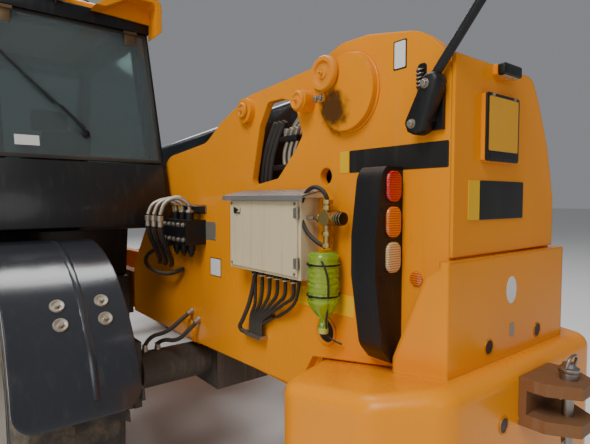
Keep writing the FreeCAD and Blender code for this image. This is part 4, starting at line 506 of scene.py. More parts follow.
def relief_node(tree, shader, height, strength, distance, soft=0):
    """Bump from a height socket, over edges softened by a radius."""
    relief = tree.nodes.new("ShaderNodeBump")
    relief.inputs["Strength"].default_value = strength
    relief.inputs["Distance"].default_value = distance
    tree.links.new(height, relief.inputs["Height"])
    if soft:
        edge = tree.nodes.new("ShaderNodeBevel")
        edge.samples = 4
        edge.inputs["Radius"].default_value = soft
        tree.links.new(edge.outputs["Normal"], relief.inputs["Normal"])
    tree.links.new(relief.outputs["Normal"], shader.inputs["Normal"])


def bare_material(name, **values):
    """A node material with plain shader values; gives it, its tree and its surface shader."""
    finish = bpy.data.materials.new(name)
    finish.use_nodes = True
    shader = finish.node_tree.nodes["Principled BSDF"]
    for key, value in values.items():
        shader.inputs[key.replace("_", " ").title().replace("Ior", "IOR")].default_value = value
    return finish, finish.node_tree, shader


def group_node(tree, name, **values):
    """A shader group placed in a material, with its inputs set."""
    made = tree.nodes.new("ShaderNodeGroup")
    made.node_tree = bpy.data.node_groups[name]
    for key, value in values.items():
        made.inputs[key.title()].default_value = value
    return made.outputs


def weathered(name, colour, rough, dust=0.3, specks=0.0, scratch=0.3, streak=0.1, metal=0.0, coat=0.0,
              grain=300.0, waves=0.3, bump=0.05, spread=0.12, under=None, dust_colour=DUST, soft=0.003,
              shine=0.35):
    """Painted, moulded or metal skin with uneven shade, dust, scratches, rust specks and streaks."""
    finish, tree, shader = bare_material(
        name, metallic=metal, specular_ior_level=shine, coat_weight=coat, coat_roughness=0.12)
    masks = group_node(tree, "Weather", dust=dust, specks=specks)
    skin = group_node(tree, "Grain", scale=grain, waves=waves)
    deep = [value * (1 - spread) for value in colour]
    light = [min(1, value * (1 + spread)) for value in colour]
    worn = under or [min(1, value * 1.6 + 0.03) for value in colour]
    base = mix_colour(tree, step_node(tree, masks["Shade"], low=0.3, high=0.7), deep, light)
    base = mix_colour(tree, math_node(tree, "MULTIPLY", masks["Streak"], streak), base, dust_colour)
    base = mix_colour(tree, math_node(tree, "MULTIPLY", masks["Scratch"], scratch), base, worn)
    base = mix_colour(tree, masks["Rust"], base, RUST)
    base = mix_colour(tree, masks["Dust"], base, dust_colour)
    tree.links.new(base, shader.inputs["Base Color"])
    rise = math_node(tree, "MULTIPLY_ADD", masks["Dust"], 0.55, rough)
    rise = math_node(tree, "MULTIPLY_ADD", masks["Rust"], 0.4, rise)
    tree.links.new(math_node(tree, "MINIMUM", rise, 1.0), shader.inputs["Roughness"])
    relief_node(tree, shader, skin["Height"], bump, 0.004, soft)
    return finish


def glass_material(name, colour, clear_share, rough):
    """Clear pane or plastic with a faint smeared film."""
    finish, tree, shader = bare_material(
        name, base_color=(*colour, 1), roughness=rough, transmission_weight=clear_share, ior=1.45)
    smear = noise_node(tree, object_place(tree), scale=6, detail=4, rough=0.6, stretch=(1.0, 1.0, 2.5))
    film = step_node(tree, smear, low=0.45, high=0.8)
    tree.links.new(math_node(tree, "MULTIPLY_ADD", film, 0.10, rough), shader.inputs["Roughness"])
    return finish


def lens_material(name, colour):
    """Ribbed coloured lamp plastic."""
    finish, tree, shader = bare_material(name, coat_weight=0.6, subsurface_weight=0.15)
    place = object_place(tree)
    ribs = tree.nodes.new("ShaderNodeTexWave")
    ribs.wave_type = "BANDS"
    ribs.bands_direction = "Z"
    ribs.inputs["Scale"].default_value = 45
    tree.links.new(place, ribs.inputs["Vector"])
    deep = [value * 0.45 for value in colour]
    tree.links.new(mix_colour(tree, ribs.outputs["Fac"], deep, colour), shader.inputs["Base Color"])
    relief_node(tree, shader, ribs.outputs["Fac"], 0.4, 0.002)
    gloss = math_node(tree, "MULTIPLY_ADD", noise_node(tree, place, scale=40), 0.2, 0.12)
    tree.links.new(gloss, shader.inputs["Roughness"])
    return finish


def cloth_material(name, colour):
    """Woven seat cloth."""
    finish, tree, shader = bare_material(name, roughness=0.9, sheen_weight=0.3)
    place = object_place(tree)
    weave = tree.nodes.new("ShaderNodeTexChecker")
    weave.inputs["Scale"].default_value = 420
    tree.links.new(place, weave.inputs["Vector"])
    deep = [value * 0.5 for value in colour]
    threads = mix_colour(tree, weave.outputs["Fac"], deep, colour)
    worn = step_node(tree, noise_node(tree, place, scale=7), low=0.45, high=0.75)
    base = mix_colour(tree, math_node(tree, "MULTIPLY", worn, 0.25), threads, DUST)
    tree.links.new(base, shader.inputs["Base Color"])
    relief_node(tree, shader, weave.outputs["Fac"], 0.5, 0.001)
    return finish


def tyre_material(name):
    """Chalky rubber with soil caked on it."""
    finish, tree, shader = bare_material(name)
    place = object_place(tree)
    cake = step_node(tree, noise_node(tree, place, scale=5, detail=7, rough=0.65), low=0.42, high=0.66)
    chalk = noise_node(tree, place, scale=1.6, detail=3)
    base = mix_colour(tree, chalk, (0.018, 0.017, 0.016), (0.045, 0.041, 0.036))
    base = mix_colour(tree, math_node(tree, "MULTIPLY", cake, 0.85), base, (0.21, 0.155, 0.095))
    tree.links.new(base, shader.inputs["Base Color"])
    tree.links.new(math_node(tree, "MULTIPLY_ADD", cake, 0.25, 0.7), shader.inputs["Roughness"])
    rough = noise_node(tree, place, scale=55, detail=5)
    relief_node(tree, shader, math_node(tree, "MULTIPLY_ADD", cake, 0.8, rough), 0.5, 0.006, 0.006)
    return finish


def greased(finish, centre, radius, depth):
    """Dark grease round a point of an already weathered finish."""
    tree = finish.node_tree
    shader = tree.nodes["Principled BSDF"]
    place = object_place(tree)
    away = tree.nodes.new("ShaderNodeVectorMath")
    away.operation = "DISTANCE"
    away.inputs[1].default_value = centre
    tree.links.new(place, away.inputs[0])
    patchy = noise_node(tree, place, scale=24, detail=5)
    ragged = math_node(tree, "MULTIPLY_ADD", patchy, radius * 1.1, away.outputs["Value"])
    spread = less(tree, step_node(tree, ragged, low=radius * 1.15, high=radius * 1.75))
    spread = math_node(tree, "MULTIPLY", spread, depth)
    before = shader.inputs["Base Color"].links[0].from_socket
    tree.links.new(mix_colour(tree, spread, before, (0.012, 0.009, 0.006)), shader.inputs["Base Color"])


PAINT = {"scratch": 0.6, "coat": 0.10, "shine": 0.2, "grain": 160, "waves": 0.8, "under": (0.30, 0.24, 0.16)}
METAL = {"metal": 1.0, "grain": 500}
SKINS = {
    "body": ("body_paint", "body", 0.28, {
        **PAINT, "dust": 0.04, "specks": 0.9, "scratch": 0.5, "streak": 0.06, "spread": 0.08, "soft": 0.007}),
    "tower": ("tower_paint", "body", 0.28, {
        **PAINT, "dust": 0.04, "specks": 1.0, "streak": 0.08, "spread": 0.08, "soft": 0.009}),
    "cast": ("cast_paint", "body", 0.26, {
        **PAINT, "dust": 0.03, "specks": 0.7, "streak": 0.04, "grain": 60, "waves": 1.5, "bump": 0.10,
        "spread": 0.06, "soft": 0.02}),
    "greased": ("greased_steel", (0.20, 0.075, 0.018), 0.5, {
        "dust": 0.25, "specks": 1.0, "scratch": 0.8, "streak": 0.4, "metal": 0.3, "grain": 120, "bump": 0.2,
        "under": (0.05, 0.035, 0.02)}),
    "dark": ("dark_paint", "dark", 0.3, {
        "dust": 0.5, "specks": 0.3, "scratch": 0.4, "coat": 0.25, "grain": 220, "bump": 0.06, "soft": 0.006}),
    "boom": ("boom_paint", "dark", 0.16, {
        "dust": 0.05, "specks": 0.2, "scratch": 0.6, "streak": 0.05, "coat": 0.6, "grain": 220,
        "soft": 0.014}),
    "axle": ("axle_paint", "dark", 0.55, {
        "dust": 0.35, "specks": 0.7, "scratch": 0.2, "streak": 0.3, "grain": 80, "bump": 0.35,
        "soft": 0.006}),
    "rim": ("wheel_paint", "rim", 0.45, {
        "dust": 0.6, "specks": 0.9, "scratch": 0.4, "streak": 0.2, "grain": 200, "bump": 0.1, "soft": 0.004}),
    "cab": ("cab_paint", "cab", 0.32, {
        "dust": 0.05, "specks": 0.1, "streak": 0.06, "coat": 0.15, "grain": 260, "bump": 0.06,
        "soft": 0.008}),
    "guard": ("guard_plastic", "guard", 0.14, {
        "dust": 0.04, "scratch": 0.5, "streak": 0.08, "coat": 0.5, "shine": 0.45, "grain": 380, "waves": 0.6,
        "bump": 0.08, "soft": 0.01}),
    "box": ("box_enamel", "box", 0.4, {
        "dust": 0.25, "specks": 0.3, "streak": 0.5, "grain": 240, "bump": 0.06,
        "dust_colour": (0.36, 0.25, 0.13)}),
    "black": ("black_plastic", (0.006, 0.006, 0.007), 0.34, {
        "dust": 0.05, "streak": 0.04, "grain": 420, "waves": 0.2, "bump": 0.3}),
    "rubber": ("hose_rubber", (0.012, 0.012, 0.012), 0.55, {
        "scratch": 0.2, "streak": 0.0, "grain": 500, "bump": 0.2, "soft": 0}),
    "zinc": ("zinc_steel", (0.42, 0.38, 0.31), 0.38, {
        **METAL, "dust": 0.25, "specks": 0.8, "streak": 0.3, "metal": 0.9, "bump": 0.1, "soft": 0.0015}),
    "steel": ("worn_steel", (0.33, 0.31, 0.29), 0.34, {
        **METAL, "dust": 0.35, "specks": 1.0, "scratch": 0.5, "streak": 0.2, "grain": 400, "bump": 0.12,
        "soft": 0.002}),
    "chrome": ("rod_chrome", (0.72, 0.73, 0.75), 0.08, {
        **METAL, "dust": 0.12, "streak": 0.0, "grain": 900, "bump": 0.02, "soft": 0}),
    "brass": ("brass", (0.52, 0.36, 0.12), 0.34, {
        **METAL, "specks": 0.4, "scratch": 0.2, "bump": 0.08, "soft": 0.001}),
    "fork": ("fork_paint", (0.010, 0.010, 0.011), 0.45, {
        "dust": 0.5, "specks": 0.9, "scratch": 1.0, "grain": 200, "bump": 0.12, "under": (0.32, 0.30, 0.28),
        "soft": 0.004}),
    "engine": ("engine_iron", (0.05, 0.05, 0.05), 0.6, {
        "dust": 0.6, "specks": 0.7, "grain": 90, "bump": 0.4}),
    "tread": ("tread_plate", (0.46, 0.44, 0.42), 0.36, {
        **METAL, "dust": 0.35, "specks": 0.9, "metal": 0.85, "bump": 0.08, "soft": 0.001}),
    "pin": ("pin_paint", "body", 0.4, {
        "specks": 1.0, "scratch": 0.9, "streak": 0.3, "grain": 160, "bump": 0.12,
        "under": (0.14, 0.09, 0.05), "soft": 0.002}),
    "cap": ("cap_plastic", (0.42, 0.47, 0.10), 0.4, {"dust": 0.2, "grain": 400}),
    "plate yellow": ("plate_yellow", (0.72, 0.34, 0.01), 0.35, {"dust": 0.1, "streak": 0.2, "grain": 500}),
    "bronze": ("hinge_bronze", (0.16, 0.10, 0.05), 0.4, {"dust": 0.2, "metal": 0.6, "grain": 400}),
    "white label": ("white_label", (0.74, 0.73, 0.70), 0.4, {"dust": 0.15, "grain": 600}),
    "black label": ("black_label", (0.010, 0.010, 0.010), 0.35, {"dust": 0.12, "streak": 0.05, "grain": 600}),
    "yellow label": ("yellow_label", (0.80, 0.44, 0.005), 0.4, {"dust": 0.06, "grain": 600}),
    "grey label": ("grey_label", (0.30, 0.27, 0.22), 0.35, {"dust": 0.2, "metal": 0.5, "grain": 600}),
}
GREASE = (((0.443, 1.83), 0.075, 0.9), ((1.002, 1.90), 0.03, 0.8))


def make_finishes():
    """All the finishes, by plain name."""
    colours = bpy.context.scene.paint_settings
    weather_group()
    grain_group()
    for name, (title, colour, rough, values) in SKINS.items():
        if isinstance(colour, str):
            colour = tuple(getattr(colours, colour))
        MATERIALS[name] = weathered(title, colour, rough, **values)
    for (along, height), radius, depth in GREASE:
        greased(MATERIALS["tower"], (ahead(along), PLATE, height), radius, depth)
    MATERIALS["glass"] = glass_material("window_glass", (0.42, 0.50, 0.49), 0.9, 0.02)
    MATERIALS["bottle"] = glass_material("bottle_plastic", (0.42, 0.66, 0.06), 0.60, 0.12)
    MATERIALS["red lens"] = lens_material("red_lens", (0.62, 0.012, 0.010))
    MATERIALS["amber lens"] = lens_material("amber_lens", (0.80, 0.17, 0.010))
    MATERIALS["clear lens"] = lens_material("clear_lens", (0.70, 0.44, 0.20))
    MATERIALS["cloth"] = cloth_material("seat_cloth", (0.035, 0.036, 0.040))
    MATERIALS["tyre"] = tyre_material("tyre_rubber")


CORNER_FINISHES = {"knuckle": "axle", "mudguard": "guard", "rim": "rim", "tyre": "tyre"}
NODE_FINISHES = {
    "tower": "tower_plate_left tower_plate_right",
    "body": "rear_panel chassis_frame cab_roof engine_pod engine_cover roof_visor",
    "cast": "counterweight",
    "greased": "tow_hitch",
    "steel": "tower_pins tow_pin",
    "axle": "front_axle rear_axle",
    "cab": "cab_frame cab_door",
    "glass": "cab_glass door_glass",
    "cloth": "seat",
    "black": "console lamp_housings valve_block mirror_arm rear_mirror",
    "dark": "hydraulic_tank fork_carriage lift_cylinder_barrel tilt_cylinder_barrel stabiliser_left "
            "stabiliser_right",
    "engine": "engine_block",
    "red lens": "lamp_lenses",
    "box": "electrical_box",
    "rubber": "box_cables",
    "zinc": "steel_pipes pipe_clips",
    "bottle": "washer_bottle",
    "brass": "isolator_valve",
    "boom": "boom_outer boom_middle boom_inner",
    "fork": "fork_tines",
    "chrome": "lift_cylinder_rod tilt_cylinder_rod",
}


def finish_nodes():
    """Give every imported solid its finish."""
    chosen = {name: finish for finish, names in NODE_FINISHES.items() for name in names.split()}
    for name, node in NODES.items():
        finish = chosen.get(name) or CORNER_FINISHES[name.split("_")[0]]
        for slot in node.material_slots:
            slot.material = MATERIALS[finish]
        if not node.material_slots:
            node.data.materials.append(MATERIALS[finish])


PIVOT = (0.470, 1.956)
FOOT_PORT = (0.495, 1.058)
CAPS = (
    ("pivot_cap", PIVOT, 0.060, 0.031),
    ("stay_cap", (0.596, 1.885), 0.034, 0.050),
    ("eye_cap", (1.002, 1.910), 0.032, 0.029),
)
CAP = ((0, 0.30), (0.30, 0.30), (0.36, 0.20), (0.62, 0.20), (0.70, 0.34), (0.92, 0.34), (1.0, 0.24), (1.0, 0),
       (0, 0))
NIPPLE = ((0, 0.018), (0.003, 0.017), (0.004, 0.012), (0.003, 0.009), (0.006, 0.006), (0.006, 0), (0, 0))
RING = ((0.040, 0), (0.052, 0), (0.052, 0.004), (0.048, 0.008), (0.044, 0.008), (0.040, 0.002), (0.040, 0))
LABELS = (
    ("name_strip", (0.005, 1.617), (0.383, 1.690), "black label"),
    ("name_strip_end", (0.386, 1.617), (0.430, 1.690), "yellow label"),
    ("data_plate", (1.300, 1.326), (1.477, 1.416), "grey label"),
    ("wide_sticker", (0.357, 1.130), (0.655, 1.203), "yellow label"),
)
EDGED_LABELS = (
    ("top_sticker", (0.151, 1.914), (0.200, 2.000)),
    ("small_sticker", (1.250, 1.150), (1.356, 1.241)),
)
PANEL_LABELS = (
    ("maker_panel", (-0.080, 1.470), (0.172, 1.583), "black label"),
    ("maker_panel_end", (0.176, 1.470), (0.232, 1.583), "yellow label"),
)
LENSES = (("red", 1.567), ("amber", 1.463), ("clear", 1.359))


def fit_cap(name, place, radius, face, sign):
    """Stepped pin end with a dished middle and a grease nipple."""
    along, height = place
    way = (0, sign, 0)
    outline = [(across * radius, out * radius) for across, out in CAP]
    cap = smooth(turned(name, outline, (ahead(along), face, height), way, 36))
    nipple = turned(name, NIPPLE, (ahead(along), face + sign * radius * 0.3, height), way, 12)
    gather(name, [cap, nipple], "pin")


def fit_pins():
    """Pin ends with a keeper on the pivot's, and a ringed port in the foot whose hole is a black disc of
    painted shade, on both plates.
    """
    for side, sign in SIDES:
        way = (0, sign, 0)
        for name, place, radius, out in CAPS:
            fit_cap(f"{name}_{side}", place, radius, (PLATE + out) * sign, sign)
        outline = card((ahead(0.475), 1.865), (ahead(0.525), 1.925), 0.008)
        slab(f"keeper_{side}", outline, "y", (PLATE + 0.025) * sign, 0.010 * sign, 0.002, "pin")
        face = (PLATE + 0.031) * sign + 0.004 * sign
        places = [(ahead(along), face, 1.878) for along in (0.487, 0.513)]
        bolts(f"keeper_bolts_{side}", places, way, width=0.018)
        x, z = ahead(FOOT_PORT[0]), FOOT_PORT[1]
        spun(f"foot_ring_{side}", RING, (x, PLATE * sign, z), way, "body", 32, 50)
        # the port's hole is not cut: a black disc on the plate paints the shade inside it
        port_painted_shade = flat(f"foot_port_{side}", oval(x, z, 0.041, 0.041), "y", PLATE * sign, 0.0008 * sign)
        dress(port_painted_shade, "black")


def side_label(name, low, high, finish, **values):
    """A sticker on the left plate, placed by its distances ahead of the rear face."""
    label(name, (ahead(low[0]), low[1]), (ahead(high[0]), high[1]), finish, **values)


def stick_labels():
    """Blank stickers, strips and data plates on the left plate and the rear panel."""
    for name, low, high, finish in LABELS:
        side_label(name, low, high, finish)
    edge, film = 0.004, 0.0008
    for name, low, high in EDGED_LABELS:
        side_label(f"{name}_edge", low, high, "black label", out=film)
        inner_low, inner_high = (low[0] + edge, low[1] + edge), (high[0] - edge, high[1] - edge)
        side_label(name, inner_low, inner_high, "white label", level=PLATE + film, out=film)
    rivets = [(ahead(along), PLATE + 0.001, z) for z in (1.334, 1.408) for along in (1.308, 1.469)]
    bolts("data_rivets", rivets, LEFT, width=0.007)
    slab("side_reflector", oval(ahead(0.106), 1.297, 0.022, 0.022), "y", PLATE, 0.005, 0.002, "amber lens")
    for name, low, high, finish in PANEL_LABELS:
        label(name, low, high, finish, "x", REAR - 0.012, -0.003)
    column = REAR - 0.032
    sticker = flat("oval_sticker", oval(0.015, 1.252, 0.030, 0.042, 32), "x", column, -0.001)
    dress(sticker, "white label")
    label("column_sticker", (-0.006, 1.108), (0.020, 1.148), "grey label", "x", column, -0.001)


def fit_number_plate():
    """Black frame with a blank yellow plate, a blank lower strip and a lamp over it."""
    face, depth = REAR - 0.026, 0.006
    slab("plate_frame", card((-0.012, 1.638), (0.174, 1.832), 0.010), "x", face, -depth, 0.002, "black")
    label("plate_blank", (-0.001, 1.668), (0.163, 1.822), "plate yellow", "x", face - depth, -0.0015)
    label("plate_strip", (0.006, 1.646), (0.156, 1.661), "black label", "x", face - depth, -0.001)
    hood = block("plate_lamp", (face - 0.022, 0.008, 1.888), (face + 0.004, 0.110, 1.922))
    dress(rounded(hood, 0.006, 3, 40), "black")
    lens = block("plate_lamp_lens", (face - 0.016, 0.020, 1.884), (face, 0.098, 1.890))
    dress(rounded(lens, 0.002, 2, 40), "clear lens")
    bolts("plate_screws", [(face - depth, y, 1.826) for y in (0.020, 0.142)], BACK, width=0.009)


def fit_lamps():
    """Pillow-shaped lenses and screws of the rear lamp housings."""
    face = ahead(0.160)
    for side, sign in SIDES:
        inner, outer = sorted(((PLATE + 0.014) * sign, (PLATE + 0.076) * sign))
        for colour, middle in LENSES:
            outline = card((inner, middle - 0.046), (outer, middle + 0.046), 0.026, 6)
            slab(f"{colour}_lens_{side}", outline, "x", face + 0.004, -0.014, 0.008, f"{colour} lens",
                 4, 50, ("lamp_lenses",))
        screws = [(face, (PLATE + 0.090) * sign, z) for z in (1.10, 1.30, 1.50)]
        bolts(f"lamp_screws_{side}", screws, BACK, "black", width=0.008)


def lozenge_field():
    """Pairs of leaning lozenges, repeated along X and Y."""
    pair = []
    for index, turn in enumerate((math.pi / 4, -math.pi / 4)):
        corners = [(0.0105, 0, 0), (0, 0.0034, 0), (-0.0105, 0, 0), (0, -0.0034, 0)]
        lozenge = plate("lozenge", corners, 0.0014)
        lozenge.rotation_euler = (0, 0, turn)
        lozenge.location = (0.012 + 0.021 * index, 0.012, 0)
        pair.append(settle(lozenge))
    field = join("box_lozenges", pair)
    for count, step in ((13, (0.042, 0, 0)), (5, (0, 0.0195, 0))):
        use_modifier(field, "ARRAY", count=count, use_relative_offset=False, use_constant_offset=True,
                     constant_offset_displace=step)
    return field


def fit_lid():
    """Sloping tread-plate lid of the electrical box, with a lip along its outer edge."""
    back, front = ahead(0.505), ahead(1.048)
    inner, outer = PLATE + 0.001, PLATE + 0.104
    high, low, gauge = 1.5635, 1.5400, 0.003
    corners = [(back, inner, high), (front, inner, high), (front, outer, low), (back, outer, low)]
    sheet = plate("box_lid", corners, gauge)
    top, bottom = (outer - 0.002, low), (outer + 0.001, low - 0.016)
    corners = [(back, *top), (front, *top), (front, *bottom), (back, *bottom)]
    lip = plate("box_lid_lip", corners, gauge)
    field = lozenge_field()
    field.rotation_euler = (math.atan2(low - high, outer - inner), 0, 0)
    field.location = (back, inner, high + 0.0028)
    gather("box_lid", [sheet, lip, settle(field)], "tread")


def fit_box():
    """Latch, hinges, corner screws, glands and cables of the electrical box."""
    face = PLATE + 0.090
    latch = [
        flat("box_latch", card((ahead(0.925), 1.470), (ahead(0.975), 1.500), 0.006), "y", face, 0.004),
        bar("box_latch", (ahead(0.950), face + 0.008, 1.485), 0.010, 0.012, "y", 20),
        block("box_latch", (ahead(0.930), face + 0.004, 1.481), (ahead(0.948), face + 0.012, 1.489)),
    ]
    dress(rounded(join("box_latch", latch), 0.001, 2, 40), "black")
    hinges = []
    x = ahead(0.548)
    for z in (1.30, 1.48):
        hinges.append(bar("box_hinges", (x, face + 0.002, z), 0.006, 0.045, "z", 14))
        leaf = block("box_hinges", (x, face - 0.001, z - 0.018), (ahead(0.572), face + 0.002, z + 0.018))
        hinges.append(leaf)
    gather("box_hinges", hinges, "zinc")
    corners = [(ahead(along), PLATE + 0.0905, z) for along in (0.566, 0.994) for z in (1.262, 1.512)]
    bolts("box_screws", corners, LEFT, width=0.009)
    glands = [nut("gland_nuts", (ahead(0.630 + 0.052 * index), PLATE + 0.042, 1.226), 0.0165, 0.012, "z")
              for index in range(6)]
    gather("gland_nuts", glands, "black")
    straight = ((0.600, 0.040, 1.238), (0.602, 0.042, 1.175), (0.655, 0.035, 1.110), (0.780, 0.012, 1.052))
    looped = ((0.880, 0.045, 1.236), (0.905, 0.050, 1.120), (0.975, 0.050, 1.010), (1.020, 0.045, 0.965),
              (0.985, 0.030, 0.945), (0.905, 0.022, 0.985), (0.800, 0.014, 1.052))
    tube("side_cable", off_plate(straight), 0.0065)
    tube("looped_cable", off_plate(looped), 0.0095)


def off_plate(rows):
    """Places given as (distance ahead, distance out of the left plate, height)."""
    return [(ahead(along), PLATE + out, z) for along, out, z in rows]


def fit_isolator():
    """Union nuts, lever, cap and bent hose round the small valve."""
    x, y, z = ahead(0.443), PLATE + 0.045, 1.465
    nuts = [nut("valve_nuts", (x, y, height), 0.021, 0.014, "z") for height in (1.520, 1.500, 1.412, 1.372)]
    nuts += [nut("valve_nuts", (x + along, y, z), 0.017, 0.013, "x") for along in (0.040, -0.030)]
    gather("valve_nuts", nuts, "brass")
    outline = card((x + 0.060, z - 0.006), (x + 0.185, z + 0.006), 0.005)
    slab("valve_lever", outline, "y", y + 0.010, 0.004, 0.0015, "zinc")
    profile = ((0, 0), (0.020, 0), (0.024, 0.006), (0.021, 0.012), (0.024, 0.018), (0.021, 0.026), (0, 0.028))
    spun("valve_knob", profile, (x - 0.052, y, z), BACK, "black", 24, 50)
    rows = ((0, 0, 1.527), (0.004, 0.006, 1.556), (0.055, 0.022, 1.580), (0.112, 0.030, 1.520),
            (0.105, 0.026, 1.440), (0.055, 0.016, 1.385), (0.006, 0.004, 1.366))
    tube("valve_hose", [(x + along, y + out, height) for along, out, height in rows], 0.0075)


def fit_bottle():
    """Crumpled clear green bottle hung neck down, with its cap, ties and thin tube."""
    x, y, middle = ahead(0.444), PLATE + 0.061, 1.2
    profile = [(0, 1.086), (0.015, 1.086), (0.0155, 1.108), (0.011, 1.111), (0.0115, 1.122), (0.020, 1.130),
               (0.043, 1.156), (0.052, 1.178)]
    for index in range(8):
        low = 1.182 + 0.0175 * index
        profile += [(0.0540, low), (0.0550, low + 0.006), (0.0505, low + 0.012)]
    profile += [(0.0530, 1.330), (0.0500, 1.346), (0.0300, 1.352), (0, 1.348)]
    bottle = turned("washer_flask", [(radius, z - middle) for radius, z in profile], (x, y, middle), "z", 30)
    pick(bottle)
    bpy.ops.object.mode_set(mode="EDIT")
    bpy.ops.mesh.select_all(action="SELECT")
    bpy.ops.transform.vertex_random(offset=0.0035, seed=4)
    bpy.ops.object.mode_set(mode="OBJECT")
    dress(smooth(bottle, 80), "bottle", stands_for=("washer_bottle",))
    profile = ((0, 0), (0.0170, 0), (0.0175, 0.018), (0.0145, 0.020), (0, 0.020))
    cap = smooth(turned("flask_cap", profile, (x, y, 1.072), "z", 20))
    dress(cap, "cap", stands_for=("washer_bottle",))
    ties = []
    band = ((0.0565, -0.003), (0.0580, -0.003), (0.0580, 0.003), (0.0565, 0.003), (0.0565, -0.003))
    for z in (1.205, 1.310):
        ties.append(turned("flask_ties", band, (x, y, z), "z", 30))
        ties.append(block("flask_ties", (x - 0.006, y + 0.055, z - 0.004), (x + 0.006, y + 0.063, z + 0.004)))
    gather("flask_ties", ties, "black")
    rows = ((-0.030, 0.040, 1.330), (-0.058, 0.030, 1.290), (-0.045, 0.020, 1.180), (-0.010, 0, 1.080),
            (-0.006, -0.020, 1.050), (-0.045, -0.045, 1.035))
    tube("flask_tube", [(x + along, y + out, z) for along, out, z in rows], 0.0035)


PLUG = ((0, 0.014), (0.030, 0.014), (0.038, 0.008), (0.042, 0.008), (0.046, 0), (0, 0))
DISH = ((0, 0.003), (0.014, 0.003), (0.021, 0.007), (0.025, 0.007), (0.028, 0), (0, 0))
TYRE_RIBS = ((0.365, 0.1865), (0.415, 0.2010), (0.470, 0.2010))
GUARD_RADIUS = 0.713


def corner_frame(name):
    """Wheel centre and outward side of a corner."""
    low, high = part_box(f"rim_{name}")
    centre = Vector([(a + b) / 2 for a, b in zip(low, high)])
    return centre, 1 if centre.y > 0 else -1


def around(centre, y, radius, count, shift=0):
    """Places evenly round a wheel's axis."""
    angles = [math.tau * (index + shift) / count for index in range(count)]
    return [(centre.x + radius * math.cos(angle), y, centre.z + radius * math.sin(angle)) for angle in angles]


def fit_wheels():
    """Wheel nuts, hub bolts, a hub cap and ribs on the tyre walls of every corner."""
    for name in CORNERS:
        centre, sign = corner_frame(name)
        way, body = (0, sign, 0), f"wheel_{name}"
        disc = centre.y + 0.064 * sign
        hub = centre.y + 0.121 * sign
        bolts(f"wheel_nuts_{name}", around(centre, disc, 0.195, 10), way, "zinc", body, 0.034)
        bolts(f"hub_bolts_{name}", around(centre, hub, 0.085, 6, 0.5), way, "dark", body, 0.018)
        place = (centre.x, hub - 0.001 * sign, centre.z)
        spun(f"hub_cap_{name}", PLUG, place, way, "dark", 28, body=body)
        ribs = []
        for radius, out in TYRE_RIBS:
            outline = [(radius + across, rise) for across, rise in
                       ((-0.005, 0), (-0.003, 0.003), (0.003, 0.003), (0.005, 0), (-0.005, 0))]
            for face in (1, -1):
                place = (centre.x, centre.y + (out - 0.0015) * face, centre.z)
                ribs.append(turned(f"tyre_ribs_{name}", outline, place, (0, face, 0), 64))
        dress(smooth(join(f"tyre_ribs_{name}", ribs)), "tyre", body)


def fit_mudguards():
    """Four bolts on dished washers and a raised crease on each mudguard."""
    for name in CORNERS:
        low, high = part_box(f"mudguard_{name}")
        width = high[1] - low[1]
        centre = corner_frame(name)[0]
        made = []
        for degrees in (135, 141.5):
            angle = math.radians(degrees)
            out = Vector((math.cos(angle), 0, math.sin(angle)))
            for share in (0.21, 0.58):
                seat = Vector((centre.x, low[1] + width * share, centre.z)) + out * (GUARD_RADIUS - 0.0015)
                made.append(smooth(turned(f"guard_bolts_{name}", DISH, seat, out, 24)))
                made.append(nut(f"guard_bolts_{name}", seat + out * 0.008, 0.010, 0.011, out))
        gather(f"guard_bolts_{name}", made, "zinc", f"steer_{name}")
        middle = low[1] + width * 0.38
        rows = ((GUARD_RADIUS - 0.002, middle - 0.014), (GUARD_RADIUS + 0.004, middle),
                (GUARD_RADIUS - 0.002, middle + 0.014))
        crease = []
        for step in range(25):
            angle = math.radians(38 + 127 * step / 24)
            crease += [(centre.x + radius * math.cos(angle), y, centre.z + radius * math.sin(angle))
                       for radius, y in rows]
        dress(strip(f"guard_crease_{name}", crease, len(rows)), "guard", f"steer_{name}")


def strip(name, points, width):
    """A thin sheet through rows of points."""
    pick()
    bpy.ops.mesh.primitive_grid_add(x_subdivisions=width - 1, y_subdivisions=len(points) // width - 1, size=1)
    piece = bpy.context.object
    piece.name = name
    for vertex, point in zip(piece.data.vertices, points):
        vertex.co = point
    use_modifier(piece, "SOLIDIFY", thickness=0.002, offset=0)
    pick(piece)
    bpy.ops.object.mode_set(mode="EDIT")
    face_outwards()
    bpy.ops.object.mode_set(mode="OBJECT")
    return smooth(piece, 60)


CAB_IN, CAB_OUT = 0.330, 1.190
CAB_SILL, CAB_TOP = 1.370, 2.560
REAR_FOOT, REAR_HEAD = 1.740, 2.090
PANE_LOW, PANE_HIGH = 1.735, 2.500
SPINDLE = ((0, 0.030), (0.008, 0.028), (0.010, 0.018), (0.018, 0.016), (0.022, 0), (0, 0))
WIPER_RODS = (
    (0.006, ((0.742, 1.869, 0.024), (0.770, 1.905, 0.040), (0.900, 2.040, 0.038), (1.020, 2.165, 0.020))),
    (0.009, ((0.755, 1.890, 0.044), (0.860, 2.000, 0.046))),
    (0.005, ((0.880, 2.020, 0.012), (1.000, 2.145, 0.016), (1.100, 2.255, 0.012))),
    (0.003, ((0.875, 2.016, 0.004), (1.105, 2.260, 0.004))),
)
AERIAL = ((0, 0), (0.016, 0), (0.015, 0.014), (0.006, 0.022), (0.0028, 0.030), (0.0020, 0.060), (0, 0.062))
GAITER = ((0, 0), (0.036, 0), (0.028, 0.010), (0.032, 0.018), (0.022, 0.028), (0.026, 0.036), (0.015, 0.048),
          (0, 0.050))
GRIP = ((0, 0), (0.016, 0.004), (0.022, 0.030), (0.018, 0.060), (0.024, 0.085), (0.014, 0.104), (0, 0.108))


def rear_glass_x(z):
    """X of the cab's sloping rear face at a height."""
    return ahead(REAR_FOOT + (REAR_HEAD - REAR_FOOT) * (z - CAB_SILL) / (CAB_TOP - CAB_SILL))


